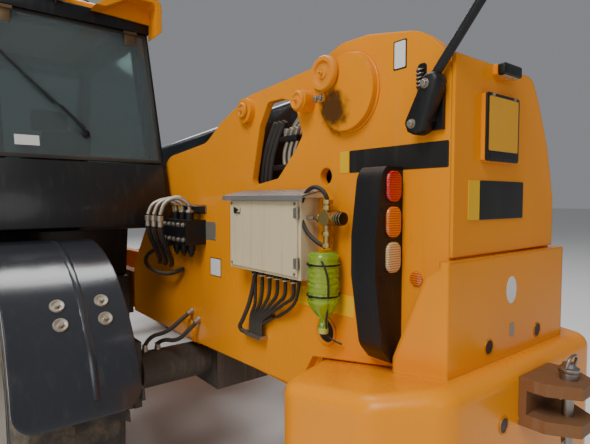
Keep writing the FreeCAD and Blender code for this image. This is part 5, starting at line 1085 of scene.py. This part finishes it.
def on_rear(low, high, out):
    """Corners of a rectangle on the cab's sloping rear face, between two (y, z) corners."""
    rows = (low, (high[0], low[1]), high, (low[0], high[1]))
    return [(rear_glass_x(z) - out, y, z) for y, z in rows]


def window_seal(name, corners, width, thickness):
    """A rubber band round the corners of a flat window."""
    piece = outlined(name, corners)
    bpy.ops.object.mode_set(mode="EDIT")
    bpy.ops.mesh.select_all(action="SELECT")
    bpy.ops.mesh.inset(thickness=width)
    bpy.ops.mesh.delete(type="FACE")
    bpy.ops.object.mode_set(mode="OBJECT")
    use_modifier(piece, "SOLIDIFY", thickness=thickness, offset=0)
    return dress(rounded(piece, thickness * 0.3, 2, 40), "rubber")


def seal_windows():
    """Pane, seal, lower panel, hinges and handle of the cab's rear window."""
    width = bpy.context.scene.fitting_settings.seal
    inner, outer = CAB_IN + 0.015, CAB_OUT - 0.015
    dress(plate("rear_pane", on_rear((inner, PANE_LOW), (outer, PANE_HIGH), 0.010), 0.005), "glass")
    corners = on_rear((inner, PANE_LOW - 0.006), (outer, PANE_HIGH + 0.006), 0.006)
    window_seal("rear_window_seal", corners, width, 0.010)
    corners = on_rear((inner, CAB_SILL + 0.020), (outer, PANE_LOW - 0.012), 0.012)
    dress(rounded(plate("rear_lower_panel", corners, 0.011), 0.004, 2, 40), "cab")
    dress(plate("pane_note", on_rear((0.961, 1.791), (1.068, 1.841), 0.0112), 0.001), "white label")
    hinges = []
    x = rear_glass_x(2.45) - 0.006
    for y in (inner + 0.10, outer - 0.10):
        leaf = block("rear_hinges", (x - 0.012, y - 0.030, 2.415), (x + 0.010, y + 0.030, 2.490))
        hinges += [rounded(leaf, 0.004), bar("rear_hinges", (x - 0.014, y, 2.492), 0.010, 0.075, "y", 16)]
    gather("rear_hinges", hinges, "bronze")
    x = rear_glass_x(1.56) + 0.060
    rows = ((0.62, 1.56), (0.66, 1.575), (0.86, 1.575), (0.90, 1.56))
    tube("rear_window_handle", [(x, y, z) for y, z in rows], 0.008, "black")


def fit_wiper():
    """Rear wiper: spindle, sprung arm, blade and the motor's cover inside the glass."""
    made = [smooth(turned("wiper", SPINDLE, (rear_glass_x(1.869) - 0.010, 0.742, 1.869), BACK, 24))]
    for radius, rows in WIPER_RODS:
        made.append(pipe("wiper", [(rear_glass_x(z) - out - 0.010, y, z) for y, z, out in rows], radius))
    gather("wiper", made, "black")
    x = rear_glass_x(1.82) + 0.050
    case = block("wiper_motor", (x, 0.700, 1.762), (x + 0.075, 0.935, 1.884))
    dress(rounded(case, 0.018, 3, 40), "black")


def fit_roof():
    """Gutter band, work lamps and aerial on the cab's roof."""
    back = ahead(REAR_HEAD) - 0.040
    front = ahead(3.330) + 0.060
    band = block("roof_band", (back - 0.006, CAB_IN - 0.004, CAB_TOP - 0.055),
                 (back + 0.050, CAB_OUT + 0.004, CAB_TOP + 0.030))
    dress(rounded(band, 0.008, 3, 40), "cab")
    lamps = (("rear_left", back - 0.010, 1.060, -1), ("rear_mid", back - 0.010, 0.835, -1),
             ("front_left", front + 0.004, 1.060, 1), ("front_right", front + 0.004, 0.460, 1))
    for name, x, y, way in lamps:
        work_lamp(f"work_lamp_{name}", x, y, CAB_TOP + 0.062, way)
    spun("aerial", AERIAL, (back + 0.060, 0.662, CAB_TOP + 0.066), "z", "black", 16, 60)


def work_lamp(name, x, y, z, way):
    """Square-faced lamp with a finned back on a bent foot."""
    face = x + 0.030 * way
    shell = block(name, (min(x, face), y - 0.045, z - 0.032), (max(x, face), y + 0.045, z + 0.032))
    pieces = [rounded(shell, 0.007, 3, 40)]
    near, far = sorted((x, x - 0.012 * way))
    for index in range(5):
        middle = y - 0.032 + 0.016 * index
        pieces.append(block(name, (near, middle - 0.002, z - 0.024), (far, middle + 0.002, z + 0.024)))
    rows = ((0.010, 0.030), (0.006, 0.060), (-0.030, 0.075))
    pieces.append(pipe(name, [(x + along * way, y, z - down) for along, down in rows], 0.007))
    gather(name, pieces, "black")
    outline = card((y - 0.038, z - 0.025), (y + 0.038, z + 0.025), 0.006)
    slab(f"{name}_lens", outline, "x", face - 0.001 * way, 0.004 * way, 0.001, "clear lens")


def fit_door():
    """Handle of the door and treads on the step below it."""
    handle = block("door_handle", (ahead(3.300), CAB_OUT, 1.500), (ahead(3.440), CAB_OUT + 0.018, 1.540))
    rows = ((3.310, 0.012), (3.330, 0.019), (3.410, 0.019), (3.430, 0.012))
    grip = pipe("door_handle", [(ahead(along), CAB_OUT + out, 1.520) for along, out in rows], 0.007)
    gather("door_handle", [rounded(handle, 0.006, 3), grip], "black", "door")
    treads = []
    for index in range(9):
        x = ahead(2.960 + 0.036 * index)
        treads.append(block("step_tread", (x, 0.965, 0.730), (x + 0.008, 1.105, 0.735)))
    gather("step_tread", treads, "zinc")


def fit_controls():
    """Arm console with a gaitered lever beside the seat."""
    low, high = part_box("seat")
    x, y = low[0] + 0.460, low[1] - 0.060
    z = low[2] + (high[2] - low[2]) * 0.45
    pod = rounded(block("arm_console", (x - 0.300, y - 0.045, low[2]), (x + 0.080, y + 0.035, z)), 0.012, 3)
    gaiter = smooth(turned("control_gaiter", GAITER, (x, y, z - 0.002), "z", 24), 60)
    rows = ((0, 0.030), (0.010, 0.100), (0.012, 0.150))
    stick = pipe("control_stick", [(x + along, y, z + up) for along, up in rows], 0.007)
    grip = smooth(turned("control_grip", GRIP, (x + 0.012, y, z + 0.120), "z", 24), 60)
    gather("control_lever", [pod, gaiter, stick, grip], "black")


def cushion(name, low, high):
    """A crowned cushion blank: a rounded block, swollen in the middle and remeshed evenly."""
    piece = rounded(block(name, low, high), 0.030, 3, 40)
    use_modifier(piece, "REMESH", mode="VOXEL", voxel_size=0.011, use_smooth_shade=True)
    return use_modifier(piece, "CAST", cast_type="SPHERE", factor=0.05)


def inflate(piece):
    """Let the cover of a cushion swell and wrinkle round its filling."""
    pick(piece)
    cloth = piece.modifiers.new("Cover", "CLOTH")
    cloth.settings.use_pressure = True
    cloth.settings.uniform_pressure_force = 4
    cloth.settings.effector_weights.gravity = 0
    cloth.settings.tension_stiffness = 25
    cloth.settings.bending_stiffness = 2
    last = 20
    cloth.point_cache.frame_end = last
    for number in range(1, last + 1):
        bpy.context.scene.frame_set(number)
    bpy.ops.object.modifier_apply(modifier=cloth.name)
    bpy.context.scene.frame_set(1)
    use_modifier(piece, "SUBSURF", levels=1)
    return smooth(piece, 80)


def pad_seat():
    """Padded base and back with a headrest on a folded pedestal, in place of the plain seat solid."""
    low, high = (Vector(corner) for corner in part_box("seat"))
    deep, wide, tall = high - low
    base = low.z + tall * 0.315
    top = low.z + tall * 0.425
    pedestal = block("seat_pedestal", (low.x + deep * 0.15, low.y + wide * 0.16, low.z),
                     (high.x - deep * 0.16, high.y - wide * 0.16, base))
    made = [rounded(pedestal, 0.015, 3)]
    for up in (0.08, 0.13, 0.18, 0.23):
        z = low.z + up
        fold = block("seat_pedestal", (low.x + deep * 0.12, low.y + wide * 0.13, z),
                     (high.x - deep * 0.13, high.y - wide * 0.13, z + 0.012))
        made.append(rounded(fold, 0.004))
    dress(join("seat_pedestal", made), "black", stands_for=("seat",))
    pads = (
        ("seat_base_pad", (low.x + deep * 0.16, low.y + 0.02, base + 0.004),
         (high.x - 0.02, high.y - 0.02, top)),
        ("seat_back_pad", (low.x + 0.02, low.y + 0.03, top + 0.01),
         (low.x + deep * 0.21, high.y - 0.03, high.z - tall * 0.16)),
        ("seat_head_pad", (low.x + 0.025, low.y + wide * 0.27, high.z - tall * 0.145),
         (low.x + deep * 0.19, high.y - wide * 0.27, high.z - 0.01)),
    )
    for name, near, far in pads:
        pad = dress(inflate(cushion(name, near, far)), "cloth", stands_for=("seat",))


COIL = ((0, 0), (0.021, 0), (0.021, 0.034), (0.016, 0.036), (0.016, 0.052), (0.008, 0.054), (0.008, 0.064),
        (0, 0.066))
KNUCKLE = ((0, 0), (0.020, 0), (0.024, 0.010), (0.020, 0.020), (0.016, 0.024), (0.016, 0.034), (0, 0.034))
COLLAR = ((0, 0), (0.026, 0), (0.028, 0.004), (0.028, 0.012), (0.020, 0.016), (0.016, 0.026), (0, 0.026))
WEIGHT_HOLES = ((0.031, 0.140, 1.098), (0.031, -0.161, 1.098), (0.100, 0.070, 0.898), (0.100, 0.178, 0.903))
AXLE_HOSES = (
    ((1.560, 0.305, 0.930), (1.562, 0.350, 0.905), (1.590, 0.430, 0.830), (1.660, 0.505, 0.805),
     (1.680, 0.520, 0.750)),
    ((1.480, 0.305, 0.900), (1.485, 0.345, 0.865), (1.530, 0.400, 0.790), (1.640, 0.440, 0.785),
     (1.680, 0.450, 0.750)),
)


def fit_valves():
    """Plugs, coils, unions, hoses and bracket of the valve block beside the cab."""
    plugs = [(ahead(1.430 + 0.055 * step), PLATE + 0.110, z) for step in range(5) for z in (1.325, 1.400)]
    bolts("valve_plugs", plugs, LEFT, width=0.020)
    coils, unions, hoses = [], [], []
    for step in range(3):
        place = (ahead(1.455 + 0.085 * step), PLATE + 0.055, 1.300)
        coils.append(smooth(turned("valve_coils", COIL, place, DOWN, 22)))
        x, y = ahead(1.510 + 0.080 * step), PLATE + 0.195
        unions += union("hose_unions", (x, y, 1.432), UP, 0.018, 0.060)
        unions += union("hose_unions", (ahead(1.460 + 0.080 * step), PLATE + 0.060, 1.468), UP, 0.022, 0.030)
        rows = ((0, 0, 1.400), (0.006, -0.006, 1.345), (0.060, -0.070, 1.250), (0.160, -0.135, 1.175),
                (0.240, -0.160, 1.160))
        hoses.append(pipe("valve_hoses", [(x + along, y + out, z) for along, out, z in rows], 0.0125))
    gather("valve_coils", coils, "black")
    gather("hose_unions", unions, "zinc")
    gather("valve_hoses", hoses, "rubber")
    back, front, face = ahead(1.390), ahead(1.660), PLATE + 0.001
    bracket = flat("valve_bracket", card((back, 1.455), (front, 1.500), 0.010), "y", face, 0.006)
    shelf = block("valve_bracket", (back, face, 1.492), (front, PLATE + 0.070, 1.498))
    dress(rounded(join("valve_bracket", [bracket, shelf]), 0.001, 1, 40), "steel")
    drain = ((1.640, 0.050, 1.300), (1.800, 0.070, 1.262), (1.990, 0.090, 1.200), (1.960, 0.100, 1.140),
             (1.800, 0.090, 1.114), (1.690, 0.050, 1.118), (1.650, 0.008, 1.150))
    tube("drain_hose", off_plate(drain), 0.011)


def fit_slot():
    """Hoses, unions and clamps that show through the slot of the left plate."""
    y = PLATE - 0.062
    hoses, unions, clamps = [], [], []
    for step in range(3):
        shift = 0.030 * step
        rows = ((0.985, 0, 1.470), (0.978, 0.008, 1.620), (0.935, 0.010, 1.760), (0.875, 0.004, 1.850))
        points = [(ahead(along - shift), y + out, z) for along, out, z in rows]
        hoses.append(pipe("slot_hoses", points, 0.0125))
        shift = 0.034 * step
        for along, z, way in ((0.745, 1.618, UP), (0.738, 1.806, (-0.40, 0, 0.92))):
            unions += union("slot_unions", (ahead(along + shift), y - 0.003, z), way, 0.017, 0.050)
    for along, z in ((0.845, 1.660), (0.800, 1.775)):
        x = ahead(along)
        clamp = block("slot_clamps", (x - 0.075, y - 0.018, z - 0.012), (x + 0.040, y + 0.018, z + 0.012))
        clamps.append(rounded(clamp, 0.004, 2, 40))
    gather("slot_hoses", hoses, "rubber")
    gather("slot_unions", unions, "zinc")
    gather("slot_clamps", clamps, "black")


def fit_mirror():
    """Tapered foot with its bolts on the mirror's arm, and a rounded head with its glass."""
    y, gauge = PLATE + 0.012, 0.052
    rows = ((0.112, 1.742), (0.100, 1.716), (0.076, 1.704), (0.050, 1.712), (0.000, 1.846), (0.014, 1.868),
            (0.046, 1.866))
    slab("mirror_boot", [(ahead(along), z) for along, z in rows], "y", y, gauge, 0.010, "black", 3)
    places = [(ahead(along), y + gauge, z) for along, z in ((0.082, 1.736), (0.040, 1.838))]
    bolts("mirror_bolts", places, LEFT, width=0.020)
    low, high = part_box("rear_mirror")
    outline = card(low[1:], high[1:], 0.035, 5)
    slab("mirror_head", outline, "x", high[0] - 0.006, low[0] - high[0] + 0.010, 0.012, "black", 4, 50,
         ("rear_mirror",))
    outline = card((low[1] + 0.012, low[2] + 0.012), (high[1] - 0.012, high[2] - 0.012), 0.026, 5)
    dress(flat("mirror_pane", outline, "x", high[0] - 0.007, 0.004), "chrome")
    place = ((low[0] + high[0]) / 2, high[1] - 0.100, low[2] - 0.026)
    spun("mirror_knuckle", KNUCKLE, place, "z", "black", 20, 50)


def fit_spring():
    """Coil spring in front of a slot near the top of the left plate, the slot being a black sheet of painted
    shade.
    """
    outline = card((ahead(0.080), 1.832), (ahead(0.112), 1.915), 0.012, 4)
    # the slot is not cut: a black sheet on the plate paints the shade inside it
    dress(flat("spring_slot", outline, "y", PLATE, 0.0008), "black")
    radius, points = 0.0095, []
    for step in range(41):
        angle = math.tau * step / 8
        points.append((ahead(0.096) + radius * math.cos(angle), PLATE + 0.011 + radius * math.sin(angle),
                       1.845 + 0.0014 * step))
    tube("spring_coil", points, 0.0022, "steel", 1)


def fit_weight():
    """Bolt holes in the counterweight, each a raised rim round a black disc of painted shade in place of the
    hole.
    """
    rim = ((0.020, 0), (0.026, 0), (0.025, 0.003), (0.021, 0.003), (0.020, 0))
    rims, painted_hole_shades = [], []
    for behind, y, z in WEIGHT_HOLES:
        x = REAR - behind
        rims.append(smooth(turned("weight_rims", rim, (x, y, z), BACK, 28), 50))
        # the holes are not cut: a black disc paints the shade inside each one
        painted_hole_shades.append(flat("weight_wells", oval(y, z, 0.0205, 0.0205), "x", x, -0.0012))
    gather("weight_rims", rims, "cast")
    gather("weight_wells", painted_hole_shades, "black")


def fit_axle_hoses():
    """Brake hoses with their unions from the chassis to the rear axle's tube, on both sides."""
    for side, sign in SIDES:
        hoses, unions = [], []
        for rows in AXLE_HOSES:
            points = [(ahead(along), y * sign, z) for along, y, z in rows]
            hoses.append(pipe("axle_hoses", points, 0.011))
            unions += union("axle_unions", points[0], (0, -sign, 0.4), 0.018, 0.040)
            unions += union("axle_unions", (*points[-1][:2], 0.730), DOWN, 0.018, 0.040)
        gather(f"axle_hoses_{side}", hoses, "rubber")
        gather(f"axle_unions_{side}", unions, "zinc")


def fit_hitch():
    """Collar, handle and clip of the tow pin."""
    low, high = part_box("tow_pin")
    x, y = (low[0] + high[0]) / 2, (low[1] + high[1]) / 2
    foot, top = low[2], high[2]
    spun("pin_collar", COLLAR, (x, y, top - 0.010), "z", "steel")
    rows = ((0.004, -0.030, 0.008), (0.010, -0.034, 0.030), (0.012, 0, 0.042), (0.010, 0.034, 0.030),
            (0.004, 0.030, 0.008))
    tube("pin_handle", [(x - back, y + across, top + up) for back, across, up in rows], 0.0045, "steel")
    rows = ((-0.022, 0.016), (0.022, 0.016), (0.034, 0.006), (0.022, -0.004))
    tube("pin_clip", [(x, y + across, foot + up) for across, up in rows], 0.0028, "zinc")


SLOPE = math.radians(3.2)
TUBE_SIDE = 0.160
BOOM_BODY = "boom_outer_section"
WELD = ((0.1255, 0), (0.1330, 0), (0.1315, 0.0040), (0.1280, 0.0062), (0.1255, 0.0060), (0.1255, 0))


def on_boom(along, above, y):
    """Place of a point given along the boom from its pivot, above that line, with the boom at rest."""
    x = ahead(PIVOT[0]) + along * math.cos(SLOPE) + above * math.sin(SLOPE)
    return Vector((x, y, PIVOT[1] - along * math.sin(SLOPE) + above * math.cos(SLOPE)))


def fit_boom():
    """Pad bolts round the boom's mouth and two clipped pipes along its right side."""
    heights = (-0.045, -0.120, -0.250, -0.325)
    for side, sign in SIDES:
        y = (TUBE_SIDE + 0.014) * sign
        places = [on_boom(along, above, y) for along in (4.735, 4.795) for above in heights]
        bolts(f"pad_bolts_{side}", places, (0, sign, 0), "zinc", BOOM_BODY, 0.020)
    y = -TUBE_SIDE - 0.018
    pipes = [pipe("boom_pipes", [on_boom(along, above, y) for along in (0.420, 2.500, 4.560)], 0.009, 1)
             for above in (-0.070, -0.100)]
    gather("boom_pipes", pipes, "black", BOOM_BODY)
    clips = []
    for index in range(7):
        clip = block("boom_clips", (-0.016, y - 0.012, -0.034), (0.016, y + 0.017, 0.034))
        clip.rotation_euler = (0, SLOPE, 0)
        clip.location = on_boom(0.560 + 0.640 * index, -0.085, 0)
        clips.append(rounded(settle(clip), 0.004, 2, 40))
    gather("boom_clips", clips, "black", BOOM_BODY)


def fit_front_lamps():
    """Head lamps on brackets at the front end of the rails."""
    x, z = ahead(5.440), 1.090
    for side, sign in SIDES:
        y = 0.330 * sign
        shell = block("lamp", (x - 0.050, y - 0.075, z - 0.050), (x + 0.020, y + 0.075, z + 0.050))
        near, far = sorted((0.240 * sign, y + 0.020 * sign))
        pieces = [
            rounded(shell, 0.016, 4, 40),
            bar("lamp", (x - 0.060, y, z), 0.030, 0.024, "x"),
            block("lamp", (x - 0.026, y - 0.012, 1.020), (x - 0.010, y + 0.012, z - 0.046)),
            block("lamp", (x - 0.034, near, 1.018), (x + 0.004, far, 1.026)),
        ]
        gather(f"head_lamp_{side}", pieces, "black")
        outline = card((y - 0.064, z - 0.040), (y + 0.064, z + 0.040), 0.014)
        slab(f"head_lens_{side}", outline, "x", x + 0.018, 0.008, 0.004, "clear lens", 3)


def fit_cover():
    """Rubber latches on the engine cover and their keepers on the pod."""
    latches, keepers = [], []
    face = -1.160
    for along in (2.780, 3.480):
        x = ahead(along)
        outline = card((x - 0.018, 1.212), (x + 0.018, 1.300), 0.010)
        latches.append(rounded(flat("cover_latches", outline, "y", face, -0.010), 0.003, 2, 40))
        latches.append(bar("cover_latches", (x, face - 0.006, 1.292), 0.007, 0.052, "x", 14))
        keepers.append(block("latch_keepers", (x - 0.022, face - 0.012, 1.160), (x + 0.022, face, 1.190)))
    gather("cover_latches", latches, "black", "engine_lid")
    dress(rounded(join("latch_keepers", keepers), 0.003, 2, 40), "steel")


def fit_welds():
    """Weld beads round the boss plates and a tab on the left plate's lower edge."""
    for side, sign in SIDES:
        place = (ahead(0.385), PLATE * sign, 1.881)
        spun(f"boss_weld_{side}", WELD, place, (0, sign, 0), "body", 72, 60)
    rows = ((1.520, 0.770), (1.600, 0.790), (1.665, 0.860), (1.655, 0.900), (1.560, 0.880), (1.525, 0.840))
    slab("plate_tab", [(ahead(along), z) for along, z in rows], "y", PLATE, 0.012, 0.003, "body")


LAMPS = (
    ("key_light", (-5.5, 7.5, 10.0), (-2.8, 0.3, 1.4), 6.0, 1050),
    ("side_light", (-4.5, 11.0, 3.5), (-2.5, 0.3, 1.3), 5.0, 120),
    ("rear_light", (-12.0, 3.0, 6.0), (-3.5, 0.0, 1.2), 4.0, 90),
    ("sky_light", (1.0, -0.8, 9.5), (-2.3, 1.0, 1.3), 4.5, 420),
    ("front_light", (9.0, -5.0, 8.0), (1.0, 0.0, 1.2), 7.0, 420),
)


def lay_floor():
    """A wide pale matt floor with a faint unevenness."""
    pick()
    bpy.ops.mesh.primitive_plane_add(size=160)
    floor = bpy.context.object
    floor.name = "floor"
    bpy.ops.object.mode_set(mode="EDIT")
    bpy.ops.mesh.subdivide(number_cuts=3)
    bpy.ops.object.mode_set(mode="OBJECT")
    finish, tree, shader = bare_material("pale_floor", roughness=0.9)
    tone = noise_node(tree, object_place(tree), scale=0.8, detail=3)
    base = mix_colour(tree, tone, (0.74, 0.73, 0.71), (0.80, 0.79, 0.77))
    tree.links.new(base, shader.inputs["Base Color"])
    floor.data.materials.append(finish)


def hang_lamps():
    """Large soft lamps round the machine under an even pale sky."""
    for name, place, target, size, power in LAMPS:
        pick()
        bpy.ops.object.light_add(type="AREA", location=place)
        lamp = bpy.context.object
        lamp.name = name
        lamp.data.shape = "DISK"
        lamp.data.size = size
        lamp.data.energy = power
        aim = Vector(target) - Vector(place)
        lamp.rotation_euler = aim.to_track_quat("-Z", "Y").to_euler()
    world = bpy.data.worlds.new("pale_sky")
    world.use_nodes = True
    sky = world.node_tree.nodes["Background"]
    sky.inputs["Color"].default_value = (0.86, 0.89, 0.94, 1)
    sky.inputs["Strength"].default_value = 0.27
    bpy.context.scene.world = world


def place_camera():
    """The camera at its set place, heading and pitch."""
    settings = bpy.context.scene.camera_settings
    level = math.cos(settings.pitch)
    aim = Vector((math.cos(settings.heading) * level, -math.sin(settings.heading) * level,
                  -math.sin(settings.pitch)))
    pick()
    bpy.ops.object.camera_add(location=settings.place, rotation=aim.to_track_quat("-Z", "Y").to_euler())
    camera = bpy.context.object
    camera.name = "photo_camera"
    camera.data.lens = settings.lens
    camera.data.sensor_width = 36
    camera.data.clip_start = 0.02
    bpy.context.scene.camera = camera


class FinishNodes(bpy.types.Operator):
    """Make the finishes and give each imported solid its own"""

    bl_idname = "dressing.finish_nodes"
    bl_label = "Paint the solids"

    def execute(self, context):
        make_finishes()
        finish_nodes()
        return {"FINISHED"}


class FitTower(bpy.types.Operator):
    """Pin caps, blank labels and the number plate of the tower"""

    bl_idname = "dressing.fit_tower"
    bl_label = "Dress the tower"

    def execute(self, context):
        fit_pins()
        stick_labels()
        fit_number_plate()
        return {"FINISHED"}


class FitTail(bpy.types.Operator):
    """Lenses, electrical box, small valve and bottle"""

    bl_idname = "dressing.fit_tail"
    bl_label = "Dress the tail"

    def execute(self, context):
        fit_lamps()
        fit_lid()
        fit_box()
        fit_isolator()
        fit_bottle()
        return {"FINISHED"}


class FitCorners(bpy.types.Operator):
    """Nuts, caps, tyre ribs and mudguard bolts of the four corners"""

    bl_idname = "dressing.fit_corners"
    bl_label = "Dress the wheels"

    def execute(self, context):
        fit_wheels()
        fit_mudguards()
        return {"FINISHED"}


class FitCab(bpy.types.Operator):
    """Rear window, wiper, roof lamps, handles and controls of the cab"""

    bl_idname = "dressing.fit_cab"
    bl_label = "Dress the cab"

    def execute(self, context):
        seal_windows()
        fit_wiper()
        fit_roof()
        fit_door()
        fit_controls()
        return {"FINISHED"}


class PadSeat(bpy.types.Operator):
    """Padded cushions in place of the plain seat"""

    bl_idname = "dressing.pad_seat"
    bl_label = "Pad the seat"

    def execute(self, context):
        pad_seat()
        return {"FINISHED"}


class FitFittings(bpy.types.Operator):
    """Valve block, slot hoses, mirror, spring and tow pin"""

    bl_idname = "dressing.fit_fittings"
    bl_label = "Dress the sides"

    def execute(self, context):
        fit_valves()
        fit_slot()
        fit_mirror()
        fit_spring()
        fit_weight()
        fit_axle_hoses()
        fit_hitch()
        return {"FINISHED"}


class FitFront(bpy.types.Operator):
    """Boom bolts and pipes, head lamps, cover latches and welds"""

    bl_idname = "dressing.fit_front"
    bl_label = "Dress the boom and front"

    def execute(self, context):
        fit_boom()
        fit_front_lamps()
        fit_cover()
        fit_welds()
        return {"FINISHED"}


class SetStage(bpy.types.Operator):
    """Place the camera, the floor and the lamps"""

    bl_idname = "dressing.set_stage"
    bl_label = "Set the stage"

    def execute(self, context):
        place_camera()
        lay_floor()
        hang_lamps()
        return {"FINISHED"}


class TelehandlerPanel(bpy.types.Panel):
    """The steps of the dressing, in order"""

    bl_idname = "VIEW3D_PT_telehandler"
    bl_label = "Telehandler"
    bl_space_type = "VIEW_3D"
    bl_region_type = "UI"
    bl_category = "Telehandler"

    def draw(self, context):
        for step in STEPS:
            self.layout.operator(step.bl_idname)
        for group in ("paint_settings", "camera_settings", "fitting_settings"):
            settings = getattr(context.scene, group)
            for name in settings.__annotations__:
                self.layout.prop(settings, name)


STEPS = (
    FinishNodes,
    FitTower,
    FitTail,
    FitCorners,
    FitCab,
    PadSeat,
    FitFittings,
    FitFront,
    SetStage,
)
SETTINGS = {
    "paint_settings": PaintSettings,
    "camera_settings": CameraSettings,
    "fitting_settings": FittingSettings,
}


def register():
    """Add the settings, steps and panel."""
    for name, group in SETTINGS.items():
        bpy.utils.register_class(group)
        setattr(bpy.types.Scene, name, bpy.props.PointerProperty(type=group))
    for step in STEPS:
        bpy.utils.register_class(step)
    bpy.utils.register_class(TelehandlerPanel)


def unregister():
    """Take the settings, steps and panel out again."""
    bpy.utils.unregister_class(TelehandlerPanel)
    for step in reversed(STEPS):
        bpy.utils.unregister_class(step)
    for name, group in SETTINGS.items():
        delattr(bpy.types.Scene, name)
        bpy.utils.unregister_class(group)


def main():
    """Run every step in order."""
    register()
    for step in STEPS:
        group, name = step.bl_idname.split(".")
        getattr(getattr(bpy.ops, group), name)()


if __name__ == "__main__":
    main()
